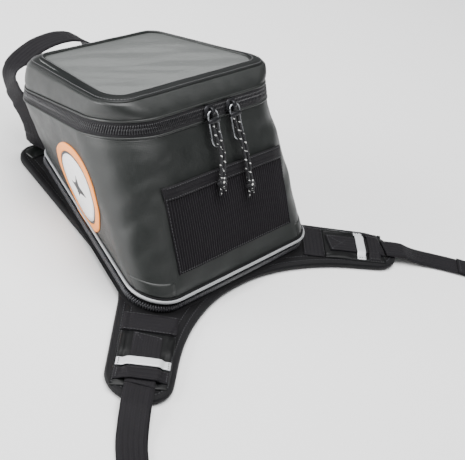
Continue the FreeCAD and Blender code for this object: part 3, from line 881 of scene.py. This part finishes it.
def lid_cover():
    """Side wall, rolled ridge and window frame of the lid in one skin."""
    rows = [lid_wall_ring(k / 12 * ROLL_LOW) for k in range(13)]
    low, corner, high = lid_wall_ring(ROLL_LOW), points_of(ridge_ring), crown_ring(ROLL_HIGH)
    for k in range(1, 6):
        t = k / 6
        rows.append([a * (1 - t) ** 2 + b * (2 * t * (1 - t)) + c * t * t
                     for a, b, c in zip(low, corner, high)])
    rows += [crown_ring(ROLL_HIGH + (1 - ROLL_HIGH) * k / 8) for k in range(9)]
    lip = rows[-1]
    inward = [n for _, n in window_ring]
    rows.append([p - n * 0.9 - UP * 0.5 for p, n in zip(lip, inward)])
    rows.append([p - n * 0.7 - UP * 1.6 for p, n in zip(lip, inward)])
    inner = []
    for k in range(5):
        part = 1 - k / 4
        inner.append([p + Vector((0, -0.2, -1)) * 2.0 - n * 0.6 * (1 - part)
                      for p, (_, n) in zip(crown_ring(max(part, 0.12)), ridge_ring)])
    inner += [[p - n * 2.4 for p, (_, n) in zip(lid_wall_ring(1 - k / 5), seam_ring)]
              for k in range(1, 6)]
    mesh_piece("lid_cover", loft(rows + inner, wrap=True), "coated", "lid", "lid_wall",
               "lid_frame")


def ripple(p, part):
    """Long soft waves in the window, flat where the frame holds it."""
    skew = p.x * 0.5 + p.y
    long_wave = noise.noise(Vector((p.x * 0.009, skew * 0.036, 4.0)))
    short = noise.noise(Vector((p.x * 0.024, skew * 0.075, 1.0)))
    return (1.2 * long_wave + 0.3 * short) * min(1, (1 - part) / 0.25) + 1.0 * (1 - part ** 2)


def lid_top():
    """Clear window, the sheet under it and the frame's two rows of stitches."""
    filled("window_sheet", WINDOW, 4.0, 0.7, ripple, "window", "lid", "lid_window", 36, -1.7)
    filled("map_sheet", LID_RIDGE, -2.6, 1.2,
           lambda p, part: 1.0 * noise.noise(p * 0.015) * (1 - part),
           "grey", "lid", "map_pocket_floor", 14, -4.0)
    batch = Batch()
    for part in (0.30, 0.90):
        path = [p + CROWN_OUT * 0.75 for p in crown_ring(part)]
        stitch_rows(batch, path + path[:1], CROWN_OUT, 2.9, 2.0, 0.30, 0.22)
    batch.piece("window_stitching", "thread_grey", "lid")


lid_cover()
frame_tape()
lid_top()

# ---- rear pocket
POCKET_HALF, POCKET_LOW, POCKET_HIGH, BAND_H = 82.0, 19.5, 97.0, 12.0
RIB = 3.0


def pocket_lift(x, along):
    """How far the slack pocket cloth stands off the wall."""
    side = min(1.0, (POCKET_HALF - abs(x)) / 16)
    foot = min(1.0, (along - POCKET_LOW) / 20)
    rise = (along - POCKET_LOW) / (POCKET_HIGH - POCKET_LOW)
    slack = 0.5 + 0.5 * noise.noise(Vector((x * 0.02, along * 0.03, 2.0)))
    return 0.9 + side ** 0.7 * foot ** 0.7 * (1.2 + 2.0 * rise * slack)


def rear_pocket():
    """Ribbed stretch cloth: the ribs are in the mesh, eight columns to each."""
    cols, rows = int(2 * POCKET_HALF / RIB * 8), 44

    def spots(r, c):
        along = POCKET_LOW + (POCKET_HIGH - 1 - POCKET_LOW) * r / rows
        x = -POCKET_HALF + 2 * POCKET_HALF * c / cols
        squeeze = 0.6 * math.sin(math.pi * r / rows)
        x -= math.copysign(squeeze, x) * (abs(x) / POCKET_HALF) ** 4
        rib = 0.42 * math.cos(math.tau * x / RIB)
        face = rear_spot(x, along, pocket_lift(x, along) + rib)
        return face, face - REAR_OUT * (0.8 + rib)

    step_u, step_v = 2 * POCKET_HALF / cols, (POCKET_HIGH - POCKET_LOW) / rows
    shape = slab(rows, cols, spots, lambda r, c: (c * step_u - POCKET_HALF, r * step_v))
    mesh_piece("pocket_cloth", shape, "stretch", "bag", "pocket_panel")


def pocket_trim():
    """The pocket's top band, and the thread round the pocket."""
    reach, mid = POCKET_HALF + 0.6, POCKET_HIGH - BAND_H / 2
    xs = [-reach + 2 * reach * k / 60 for k in range(61)]
    lifts = [pocket_lift(max(1 - POCKET_HALF, min(POCKET_HALF - 1, x)), mid) for x in xs]
    path = [rear_spot(x, mid, lift + 0.75) for x, lift in zip(xs, lifts)]
    mesh_piece("pocket_top_band", sweep(path, strap_profile(BAND_H, 1.7, 8), lambda i: REAR_UP),
               "webbing", "bag", "pocket_band")
    batch = Batch()
    for along in (POCKET_HIGH - BAND_H + 1.4, POCKET_HIGH - 1.6):
        path = [rear_spot(x, along, lift + 1.5) for x, lift in zip(xs, lifts)]
        stitch_rows(batch, path, REAR_OUT)
    side, foot = POCKET_HALF - 1.2, POCKET_LOW + 1.4
    rows = [[(x, POCKET_LOW + 1 + k * 3) for k in range(26)] for x in (-side, side)]
    rows.append([(x, foot) for x in xs[1:-1]])
    for row in rows:
        path = [rear_spot(x, along, pocket_lift(x, along) + 0.5) for x, along in row]
        stitch_rows(batch, path, REAR_OUT)
    batch.piece("pocket_stitching", "thread", "bag")


WELD_ROWS = 14
WELD_FRONT, WELD_INNER = -84, 90        # how far the patches reach along y and x


def weld_side(p, side):
    return p.y < WELD_FRONT and (-p.x if side == "left" else p.x) > WELD_INNER


def corner_welds():
    """Welded reinforcing patches wrapped round the two lower rear corners."""
    heights = [0.022 + 0.088 * r / WELD_ROWS for r in range(WELD_ROWS + 1)]
    levels = [mix(base_ring, rim_ring, h) for h in heights]
    for side in ("left", "right"):
        picks = [k for k in range(RING_N) if weld_side(base_ring[k][0], side)]
        start = picks[0]
        picks = sorted(picks, key=lambda k: (k - start + RING_N // 2) % RING_N)
        last = len(picks) - 1

        def spots(r, c):
            p, n = levels[r][picks[c]]
            soft = soft_edge(r, WELD_ROWS, c, last, 1.5)
            skin = skin_offset(p, n, heights[r])
            return p + n * (skin + 0.2 + 0.6 * soft), p + n * (skin - 0.3)

        mesh_piece("corner_weld_" + side + "_patch",
                   slab(WELD_ROWS, last, spots, lambda r, c: (c * 2.2, r * 1.2)),
                   "coated", "bag", "corner_weld_" + side)


rear_pocket()
pocket_trim()
corner_welds()


# ---- badge
def left_edge(spec):
    """Rear and front end of a section's left side."""
    return (Vector((-spec.rear_half, spec.rear_y, spec.rear_z)),
            Vector((-spec.front_half, spec.front_y, spec.front_z)))


def badge_frame():
    """The badge's centre on the left wall, and its forward, upward and outward directions."""
    (low_rear, low_front), (top_rear, top_front) = left_edge(BASE), left_edge(RIM)
    foot, brim = low_rear.lerp(low_front, BADGE_ALONG), top_rear.lerp(top_front, BADGE_ALONG)
    fore = (low_front - low_rear).lerp(top_front - top_rear, BADGE_UP).normalized()
    out = fore.cross(brim - foot).normalized()
    out *= math.copysign(1, -out.x)
    high = out.cross(fore).normalized()
    high *= math.copysign(1, high.z)
    return foot.lerp(brim, BADGE_UP), high.cross(out), high, out


BADGE_AT, BADGE_FORE, BADGE_HIGH, BADGE_OUT = badge_frame()


def badge_spot(a, b, lift):
    """A place on the wall, a forward and b above the badge's centre."""
    return on_skin(BADGE_AT + BADGE_FORE * a + BADGE_HIGH * b, BADGE_OUT, lift)


def badge_disc(name, inner, outer, height, finish, node):
    """A thin moulded ring or disc that follows the soft wall."""
    radii = [inner + (outer - inner) * k / 6 for k in range(7)]
    profile = [(r, height * (1 if 0 < k < 6 else 0.8)) for k, r in enumerate(radii)]
    profile = [(inner, -0.2)] + profile + [(radii[-1], -0.2)]
    turns = [math.tau * k / 96 for k in range(96)]
    rings = [[badge_spot(r * math.cos(t), r * math.sin(t), lift) for t in turns]
             for r, lift in profile]
    verts, faces, _ = loft(rings, wrap=True)
    mesh_piece(name, (verts, faces, None), finish, "bag", node)


def badge_star():
    """Four-pointed star, each ray creased along its middle."""
    count = 8
    corners = [(7.5 if k % 2 else 24, math.tau / count * k) for k in range(count)]
    tips, feet = ([badge_spot(r * math.sin(t), r * math.cos(t), lift) for r, t in corners]
                  for lift in (0.75, 0.1))
    verts = tips + feet + [badge_spot(0, 0, 2.0), badge_spot(0, 0, 0.1)]
    faces = []
    for k in range(count):
        j = (k + 1) % count
        faces += [(k, j, 2 * count), (count + j, count + k, 2 * count + 1),
                  (k, count + k, count + j, j)]
    mesh_piece("badge_star_boss", (verts, faces, None), "dark", "bag", "badge_star", smooth=False)


RING_IN, LINE_IN = BADGE_R - 8, BADGE_R - 10.5
badge_disc("badge_outer", RING_IN, BADGE_R, 1.2, "orange", "badge_ring")
badge_disc("badge_line", LINE_IN, RING_IN, 0.9, "dark", "badge_rim")
badge_disc("badge_face", 0.4, LINE_IN, 1.1, "white", "badge_disc")
badge_star()

# ---- harness pad
PAD_LOW, GRIP_TOP = 0.9, 0.85           # the grip sheet lies under the padding
SEAM_IN, TAPE_SEAM_IN = 10.5, 4.0       # how far the two rows of stitches are inside the edge
TAPE_SEAM_Z = 6.14
GRID_STEP = 4.5                         # of the pad's mesh, kept clear of its edge
GRID_X, GRID_Y, GRID_CLEAR = (-215.0, 216.0), (-205.0, 145.0), 17
edge_samples = rounded(OUTLINE)
EDGE = search_tree([p.to_3d() for p, _ in edge_samples])


def pad_height(x, y):
    """Top of the padding: rolled edge, sewn channel and a soft surface."""
    _, _, gap = EDGE.find((x, y, 0))
    roll = -1.9 * math.exp(-gap / 2.2)
    channel = -0.8 * math.exp(-((gap - SEAM_IN) / 1.5) ** 2)
    puff = 0.55 * min(1, gap / 14) + 0.45 * noise.noise(Vector((x, y, 0)) * 0.03)
    return PAD_TOP + roll + channel + puff * 0.8


def steps_over(first, last):
    return [first + GRID_STEP * k for k in range(math.ceil((last - first) / GRID_STEP))]


def pad_face(z_of, flip):
    """Triangulated fill of the harness outline."""
    points = []
    for inset in (0.6, 2.0, 4.0, 7.0, 9.2, SEAM_IN, 11.8, 15.0):
        points += [p - n * inset for p, n in edge_samples]
    for x in steps_over(*GRID_X):
        for y in steps_over(*GRID_Y):
            _, index, gap = EDGE.find((x, y, 0))
            p, n = edge_samples[index]
            if gap > GRID_CLEAR and (Vector((x, y)) - p).dot(n) < 0:
                points.append(Vector((x, y)))
    count = len(edge_samples)
    edges = [(i, (i + 1) % count) for i in range(count)]
    flat, _, faces, _, _, _ = delaunay_2d_cdt(points, edges, [], 1, 0.001)
    verts = [Vector((p.x, p.y, z_of(p.x, p.y))) for p in flat]
    return verts, [tuple(reversed(f)) if flip else tuple(f) for f in faces]


def pad_slab(top_of, low_of):
    """The harness outline filled at two heights and closed round its edge."""
    top, top_faces = pad_face(top_of, False)
    under, under_faces = pad_face(low_of, True)
    base, count = len(top), len(edge_samples)
    verts = top + under
    faces = top_faces + [tuple(base + i for i in f) for f in under_faces]
    faces += [(i, base + i, base + (i + 1) % count, (i + 1) % count) for i in range(count)]
    return verts, faces, [(p.x, p.y) for p in verts]


def harness_pad():
    pad = mesh_piece("harness_padding", pad_slab(pad_height, lambda x, y: PAD_LOW), "pad",
                     "harness", "harness_pad", "harness_cover")
    mesh_piece("harness_grip_sheet", pad_slab(lambda x, y: GRIP_TOP, lambda x, y: 0.0), "grip",
               "harness", "harness_underside")


def harness_edge():
    """Folded binding tape round the pad with its two rows of stitches."""
    profile = [(-5.2, 6.0), (-4.9, 6.4), (-2.5, 6.4), (-0.4, 6.2), (1.2, 5.3), (2.0, 3.8),
               (1.9, 2.0), (1.1, 0.7), (-0.6, 0.15), (-5.0, 0.1), (-5.2, 0.6), (-0.9, 0.9),
               (0.5, 2.0), (0.9, 3.8), (0.2, 5.0), (-1.2, 5.8)]
    rings = [[Vector((p.x + n.x * out, p.y + n.y * out, z)) for p, n in edge_samples]
             for out, z in profile]
    verts, faces, _ = loft(rings, wrap=True)
    reach = lengths([p for p, _ in edge_samples])
    run = lengths([Vector(spot) for spot in profile])
    uvs = [(across, along) for across in run for along in reach]
    mesh_piece("harness_edge_tape", (verts, faces, uvs), "binding", "harness",
               "harness_binding", slot="pad_cloth")
    batch = Batch()
    tape_row = [(p - n * TAPE_SEAM_IN).to_3d() + UP * TAPE_SEAM_Z for p, n in edge_samples]
    inner_row = [p - n * SEAM_IN for p, n in edge_samples]
    inner_row = [Vector((p.x, p.y, pad_height(p.x, p.y))) for p in inner_row]
    for path in (tape_row, inner_row):
        stitch_rows(batch, path + path[:1], UP, 3.4, 2.3, 0.38, 0.24)
    batch.piece("harness_stitching", "thread", "harness")


harness_pad()
harness_edge()

# ---- arms, patches and straps
# start, end and half width of the pieces across an arm, along the arm's own line
ARM_BAND = (-103, -80, 24)
ARM_PATCH = (-79.5, -11.5, 24)
ARM_ROOT = (-75, -13.4, WEB_W / 2)
ARM_STRIP = (-44, -34.5, 22.5)
ARM_KEEPER = (-31, -18, 22.5)
TACK_BOX = [(-73.5, -11), (-47, -11), (-47, 11), (-73.5, 11)]
HEM_POINTS = 12                         # of the strap's path, from its end
# the loose strap as (along, across, height)
STRAP = [(-12.0, 0.0, 8.4), (9.0, 0.0, 8.2), (16.0, -0.4, 6.4), (28.0, -1.2, 3.6),
         (48.0, -3.0, 2.2), (72.0, -8.0, 1.8), (96.0, -15.0, 1.6)]


def arm_point(sign, along, across, z):
    """A place on an arm; sign is 1 on the right and -1 on the left."""
    side = Vector((-ARM_DIR.y, ARM_DIR.x, 0))
    p = ARM_EXIT + ARM_DIR * along + side * across
    return Vector((sign * p.x, p.y, z))


def arm_sheet(name, sign, span, level, thickness, finish, node, bridge=(0.0, 13.5, 3.0),
              turned=False, rows=14, swell=0.0, skew=ARM_SKEW):
    """A flat piece across an arm; bridge is its rise over the strap, half width and ramp.

    swell puffs its two sides up beside the strap, and skew leans its ends.
    """
    x0, x1, half = span
    rise, flat_half, ramp = bridge
    cols = 36

    def spots(r, c):
        x = x0 + (x1 - x0) * r / rows
        y = half * (-1 + 2 * c / cols)
        over = rise * (1 - smoothstep(flat_half, flat_half + ramp, abs(y)))
        edge = soft_edge(r, rows, c, cols, 1.2)
        wave = 0.25 * noise.noise(Vector((x * 0.06, y * 0.06, sign * 3.0)))
        slid = x + skew * y
        spot = arm_point(sign, slid, y, 0)
        bulge = swell * math.sin(math.pi * smoothstep(13, half + 1, abs(y))) * min(1, r / 3)
        bulge *= 1 - smoothstep(-56, -47, x)
        z = level + over + wave + pad_height(spot.x, spot.y) - PAD_TOP + bulge
        return (arm_point(sign, slid, y, z + thickness * (0.55 + 0.45 * edge)),
                arm_point(sign, slid, y, z - 0.1))

    du, dv = 2 * half / cols, (x1 - x0) / rows
    uv = (lambda r, c: (r * dv, c * du)) if turned else (lambda r, c: (c * du, r * dv))
    mesh_piece(name, slab(rows, cols, spots, uv), finish, "harness", node + "_" + SIDE[sign])


def arm_pieces(sign, side):
    """Band, patch, sewn end of the strap, reflective strip and keeper."""
    arm_sheet(f"arm_band_{side}_web", sign, ARM_BAND, PAD_TOP + 0.25, 1.5, "webbing", "arm_band",
              turned=True)
    arm_sheet(f"arm_patch_{side}_pvc", sign, ARM_PATCH, PAD_TOP + 0.35, 0.9, "patch",
              "arm_patch", rows=30, swell=1.2)
    arm_sheet(f"arm_strap_{side}_root", sign, ARM_ROOT, PATCH_TOP + 0.25, WEB_T - 0.2,
              "webbing", "arm_strap_root", rows=30, skew=0.0)
    arm_sheet(f"arm_strip_{side}", sign, ARM_STRIP, PATCH_TOP + 0.25, 0.9, "strip",
              "reflective_strip", bridge=(2.1, 11.5, 9.5), turned=True)
    arm_sheet(f"arm_keeper_{side}_web", sign, ARM_KEEPER, PATCH_TOP + 0.2, 1.3, "webbing",
              "arm_keeper", bridge=(2.6, 12.5, 7.5), turned=True)


def arm_stitches(batch, sign, spots, z, skew=ARM_SKEW):
    """Stitches along straight runs between (along, across) spots."""
    path = [arm_point(sign, x + y * skew, y, z) for x, y in spots]
    dense = []
    for a, b in zip(path, path[1:]):
        steps = max(1, int((b - a).length / 2))
        dense += [a.lerp(b, k / steps) for k in range(steps)]
    stitch_rows(batch, dense + [path[-1]], UP, 2.8, 1.9, 0.36, 0.3)


def arm_thread(sign, side):
    """Rows across the band, along the patch, and on strap, strip and keeper."""
    batch = Batch()
    for x in (ARM_BAND[0] + 1.5, ARM_BAND[1] - 0.6):
        arm_stitches(batch, sign, [(x, -22), (x, 22)], PAD_TOP + 1.75)
    for y in (-22.6, 22.6):
        arm_stitches(batch, sign, [(-78, y), (-13, y)], PATCH_TOP + 0.15)
    arm_stitches(batch, sign, TACK_BOX + TACK_BOX[:1], PATCH_TOP + 1.85, skew=0.0)
    for start in (0, 3):
        cross = [TACK_BOX[start], TACK_BOX[(start + 2) % 4]]
        arm_stitches(batch, sign, cross, PATCH_TOP + 1.9, skew=0.0)
    for y in (-20.5, 20.5):
        arm_stitches(batch, sign, [(ARM_STRIP[0] + 1, y), (ARM_STRIP[1] - 1, y)], PATCH_TOP + 1.3)
        arm_stitches(batch, sign, [(ARM_KEEPER[0] + 1, y), (ARM_KEEPER[1] - 1, y)],
                     PATCH_TOP + 1.6)
    batch.piece("arm_stitching_" + side, "thread", "harness")


def rear_strap(sign, side):
    """The loose end of the webbing with its folded and stitched hem."""
    body = "strap_" + side
    path = []
    for p in smooth_path([Vector(p) for p in STRAP]):
        curl = 0.25 * math.sin(p.x / 9.0) * smoothstep(20, 60, p.x)
        path.append(arm_point(sign, p.x, p.y, p.z + curl))
    flat = UP.cross(path[1] - path[0]).normalized()

    def across(i):
        ahead = path[min(i + 1, len(path) - 1)] - path[max(i - 1, 0)]
        level = UP.cross(ahead).normalized()
        return level if level.dot(flat) > 0 else -level

    strap = mesh_piece("rear_strap_" + side + "_web", sweep(path, strap_profile(), across),
                       "webbing", body, "rear_strap_" + side)
    length = lengths(path)[-1] * MM
    fold = len(path) - HEM_POINTS
    hem_path = [p + UP * 1.75 for p in path[fold:]]
    shape = sweep(hem_path, strap_profile(WEB_W - 0.3), lambda i: across(fold + i))
    hem = mesh_piece("strap_hem_" + side + "_fold", shape, "webbing", body, "strap_hem_" + side)
    batch = Batch()
    for k in (1, 9):
        mid, way = hem_path[k] + UP * 0.95, across(fold + k)
        line = [mid + way * (-11 + 22 * t / 10) for t in range(11)]
        stitch_rows(batch, line, UP, 2.4, 1.7, 0.34)
    tack = batch.piece("strap_tack_" + side, "thread", body)


for sign, side in SIDE.items():
    arm_pieces(sign, side)
    arm_thread(sign, side)
    rear_strap(sign, side)

# the front loop's centre line, each point with the direction across the webbing
LOOP = [((-20, 129.5, 8.1), (0, -1, 0)), ((-30, 129.5, 9.9), (0, -1, 0.1)),
        ((-35, 131, 16), (0, -0.81, 0.59)), ((-41, 131, 30), (0.02, -0.79, 0.61)),
        ((-45.5, 136, 44), (0.09, -0.72, 0.68)), ((-49, 149, 56), (0.09, -0.73, 0.68)),
        ((-51.5, 159, 63), (-0.10, -0.80, 0.58)), ((-50, 168, 70), (-0.30, -0.86, 0.40)),
        ((-44, 175, 76.5), (-0.33, -0.93, 0.10)), ((-33, 180, 81.5), (-0.33, -0.94, 0.0)),
        ((-20, 184, 85), (-0.34, -0.93, 0.0)), ((-5, 188, 88), (-0.32, -0.94, 0.06)),
        ((11, 191, 89.5), (-0.30, -0.94, 0.06)), ((29, 192, 90.5), (-0.27, -0.95, 0.06)),
        ((45, 190, 90), (-0.20, -0.96, 0.08)), ((58, 184, 86), (-0.12, -0.96, 0.16)),
        ((64, 175, 76), (-0.05, -0.95, 0.28)), ((63, 164, 63), (0, -0.90, 0.40)),
        ((57, 151, 50), (0, -0.84, 0.54)), ((49.5, 140, 39), (0, -0.80, 0.60)),
        ((42, 132, 28), (-0.02, -0.79, 0.61)),
        ((35, 131, 16), (0, -0.81, 0.59)), ((30, 129.5, 9.9), (0, -1, 0.1)),
        ((20, 129.5, 8.1), (0, -1, 0))]


def front_loop():
    path = smooth_path([Vector(centre) for centre, _ in LOOP])
    tree = search_tree([centre for centre, _ in LOOP])

    def across(i):
        near = tree.find_n(path[i], 3)
        total = sum(1 / (d + 2) for _, _, d in near)
        return sum((Vector(LOOP[k][1]) * (1 / (d + 2)) for _, k, d in near), Vector()) / total

    strap = mesh_piece("front_loop_web", sweep(path, strap_profile(), across), "webbing",
                       "harness", "front_loop_strap")
    lengths(path)[-1] * MM


EAR_FROM, EAR_REACH = (17, 120.5), (30, 17)     # a patch's inner rear corner and its size
EAR_COLS, EAR_ROWS = 18, 10


def front_ears():
    """Welded patches on the two front ears, and their thread."""
    batch = Batch()
    for sign, side in SIDE.items():

        def spots(r, c):
            x = sign * (EAR_FROM[0] + EAR_REACH[0] * c / EAR_COLS)
            y = EAR_FROM[1] + EAR_REACH[1] * r / EAR_ROWS
            edge = soft_edge(r, EAR_ROWS, c, EAR_COLS, 1.2)
            level = pad_height(x, y)
            return Vector((x, y, level + 0.5 + 0.5 * edge)), Vector((x, y, level))

        mesh_piece("ear_patch_" + side + "_pvc",
                   slab(EAR_ROWS, EAR_COLS, spots, lambda r, c: (c * 1.9, r * 1.8)),
                   "coated", "harness", "ear_patch_" + side)
        for y in (122.5, 135.5):
            line = [Vector((sign * (19 + 26 * k / 10), y, PAD_TOP + 1.1)) for k in range(11)]
            stitch_rows(batch, line, UP, 2.6, 1.8, 0.34)
    batch.piece("ear_stitching", "thread", "harness")


front_loop()
front_ears()


# ---- sliders, wire loops and cord pulls
def band_spot(x, along, out):
    """A place on the zip band's rear run."""
    return BAND_FOOT + Vector((x, 0, 0)) + BAND_UP * along + BAND_OUT * out


def slider_plate(batch, x, middle, size, low, high, bevel):
    """A shield-shaped plate on the zip band; size is its width, length and waist."""
    width, length, waist = size
    outline = []
    for k in range(28):
        a, b = math.cos(math.tau * k / 28), math.sin(math.tau * k / 28)
        half = width / 2 * (1 - waist * max(0, -b) ** 1.5)
        outline.append(Vector((half * math.copysign(abs(a) ** 0.6, a),
                               middle + length / 2 * math.copysign(abs(b) ** 0.75, b))))
    count = len(outline)
    centre = sum(outline, Vector((0, 0))) / count
    rings = []
    for amount, z in ((bevel, low), (0, low + bevel), (0, high - bevel), (bevel, high)):
        row = [centre + (p - centre) * (1 - amount / (p - centre).length) for p in outline]
        rings.append([band_spot(x + p.x, p.y, z) for p in row])
    verts, faces, _ = loft(rings)
    faces += [tuple(range(count))[::-1], tuple(3 * count + k for k in range(count))]
    batch.add(verts, faces)


def lid_slider(key, x):
    """Two plates and the arch that holds the pull."""
    batch = Batch()
    slider_plate(batch, x, BAND_MID - 3.1, (14, 5.8, 0.1), 1.2, 3.2, 0.5)
    slider_plate(batch, x, BAND_MID - 0.3, (14.4, 12.4, 0.22), 2.9, 4.5, 0.6)
    arch = []
    for k in range(13):
        t = math.pi * k / 12
        arch.append(band_spot(x, BAND_MID + 3.6 * math.cos(t), 4.2 + 4.3 * math.sin(t) ** 0.7))
    profile = [(1.8 * math.copysign(abs(a) ** 0.5, a), 0.65 * math.copysign(abs(b) ** 0.7, b))
               for a, b in circle(1.0)]
    verts, faces, _ = sweep(arch, profile, lambda i: Vector((1, 0, 0)))
    batch.add(verts, faces)
    batch.piece("lid_slider_" + key + "_cast", "slider", "slider_" + key, "lid_slider_" + key)


def wire_loop(key, x):
    """Bent wire pull: a long link with a waist, and the clamp across it."""
    body, half = "pull_" + key, PULL_HALF
    right = [(4.2, 0.0), (half, -2.8), (half - 0.2, -9.0), (half - 0.3, -18.0), (half, -26.0),
             (4.4, -30.2)]
    shape = [(0.0, 0.35)] + right + [(0.0, -31.2)] + [(-a, b) for a, b in reversed(right)]
    control = []
    for a, b in shape:
        hollow = 0.6 * math.sin(math.pi * b / -PULL_LEN)
        control.append(band_spot(x + a, BAND_MID + b, PIN_OUT - hollow))
    path = []
    for i in range(len(control)):
        four = [control[(i + k) % len(control)] for k in (-1, 0, 1, 2)]
        path += [catmull_rom(*four, k / 8) for k in range(8)]
    link = sweep(path, circle(WIRE_R), lambda i: BAND_OUT, closed=True)
    mesh_piece("wire_loop_" + key + "_link", link, "wire", body, "wire_loop_" + key)
    batch = Batch()
    slider_plate(batch, x, BAND_MID - 8.4, (2 * half + 2.6, 4.6, 0.0), PIN_OUT - 1.9,
                 PIN_OUT + 1.9, 0.7)
    batch.piece("pull_clamp_" + key, "slider", body)


def nurbs_path(name, points):
    """Even points of the NURBS curve whose control points are given, in millimetres."""
    curve = bpy.data.curves.new(name + "_route", "CURVE")
    curve.dimensions = "3D"
    curve.resolution_u = 24
    spline = curve.splines.new("NURBS")
    spline.points.add(len(points) - 1)
    for control, p in zip(spline.points, points):
        control.co = (*p, 1)
    spline.order_u = 3
    spline.use_endpoint_u = True
    holder = bpy.data.objects.new(name + "_route", curve)
    mesh = bpy.data.meshes.new_from_object(holder)
    path = [v.co.copy() for v in mesh.vertices]
    bpy.data.objects.remove(holder)
    bpy.data.curves.remove(curve)
    bpy.data.meshes.remove(mesh)
    return path


def cord_strand(key, x, side):
    """Control points of one strand from the knot up to the clamp inside the wire loop."""
    apart = Vector((side, 0, 0))
    return [KNOTS[key] + apart * 1.7,
            SAGS[key] + apart * 2.5,
            band_spot(x + side * 2.0, BAND_MID - PULL_LEN - 4.0, PIN_OUT + 4.2),
            band_spot(x + side * 2.4, BAND_MID - 19.0, PIN_OUT + 0.7),
            band_spot(x + side * 3.4, BAND_MID - 8.2, PIN_OUT)]


def pull_cord(key, x):
    """A cord doubled through the wire loop and knotted below it."""
    route = cord_strand(key, x, -1) + cord_strand(key, x, 1)[::-1]
    path = nurbs_path("pull_cord_" + key, route)
    cord = mesh_piece("pull_cord_" + key + "_braid", sweep(path, circle(CORD_D / 2, 14)),
                      "cord", "pull_" + key, "pull_cord_" + key)
    knot = pull_knot(key, KNOTS[key])
    lengths(path)[-1] * MM


def pull_knot(key, knot):
    """A barrel knot: wraps round both strands, then two short tails."""
    down, side = -REAR_UP, Vector((1, 0, 0))
    turns, steps = 2.6, 60
    wraps = []
    for k in range(steps + 1):
        t = k / steps
        a = math.tau * turns * t
        swell = 2.7 + 0.5 * math.sin(math.pi * t)
        wraps.append(knot + side * (swell * math.cos(a)) + REAR_OUT * (swell * 0.9 * math.sin(a))
                     + down * (-3.2 + 6.4 * t) + side * 0.8 * math.sin(7 * t))
    verts, faces, uvs = sweep(wraps, circle(CORD_D / 2))
    for sx, reach in ((-1.5, 11.0), (1.7, 8.5)):
        route = [knot + side * sx * 0.6 - down * 2,
                 knot + side * sx + down * 4,
                 knot + side * sx * 1.9 + down * reach * 0.7 - REAR_OUT,
                 knot + side * sx * 2.4 + down * reach - REAR_OUT * 2.4]
        tail = nurbs_path("knot_tail_" + key, route)
        more, tail_faces, tail_uvs = sweep(tail, circle(CORD_D / 2 * 0.92))
        faces += [tuple(len(verts) + i for i in f) for f in tail_faces]
        verts += more
        uvs += tail_uvs
    return mesh_piece("pull_knot_" + key + "_barrel", (verts, faces, uvs), "cord",
                      "pull_" + key, "pull_knot_" + key)


for key, x in SLIDERS.items():
    lid_slider(key, x)
    wire_loop(key, x)
    pull_cord(key, x)

# ---- base zip slider: the CAD's own solids with a finish
for node in ("base_zip_slider", "base_zip_tab"):
    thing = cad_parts[node]
    thing.data.materials.clear()
    thing.data.materials.append(FINISH["slider"][0])
    soften = thing.modifiers.new("soft_edges", "BEVEL")
    soften.width = 0.3 * MM
    soften.segments = 3
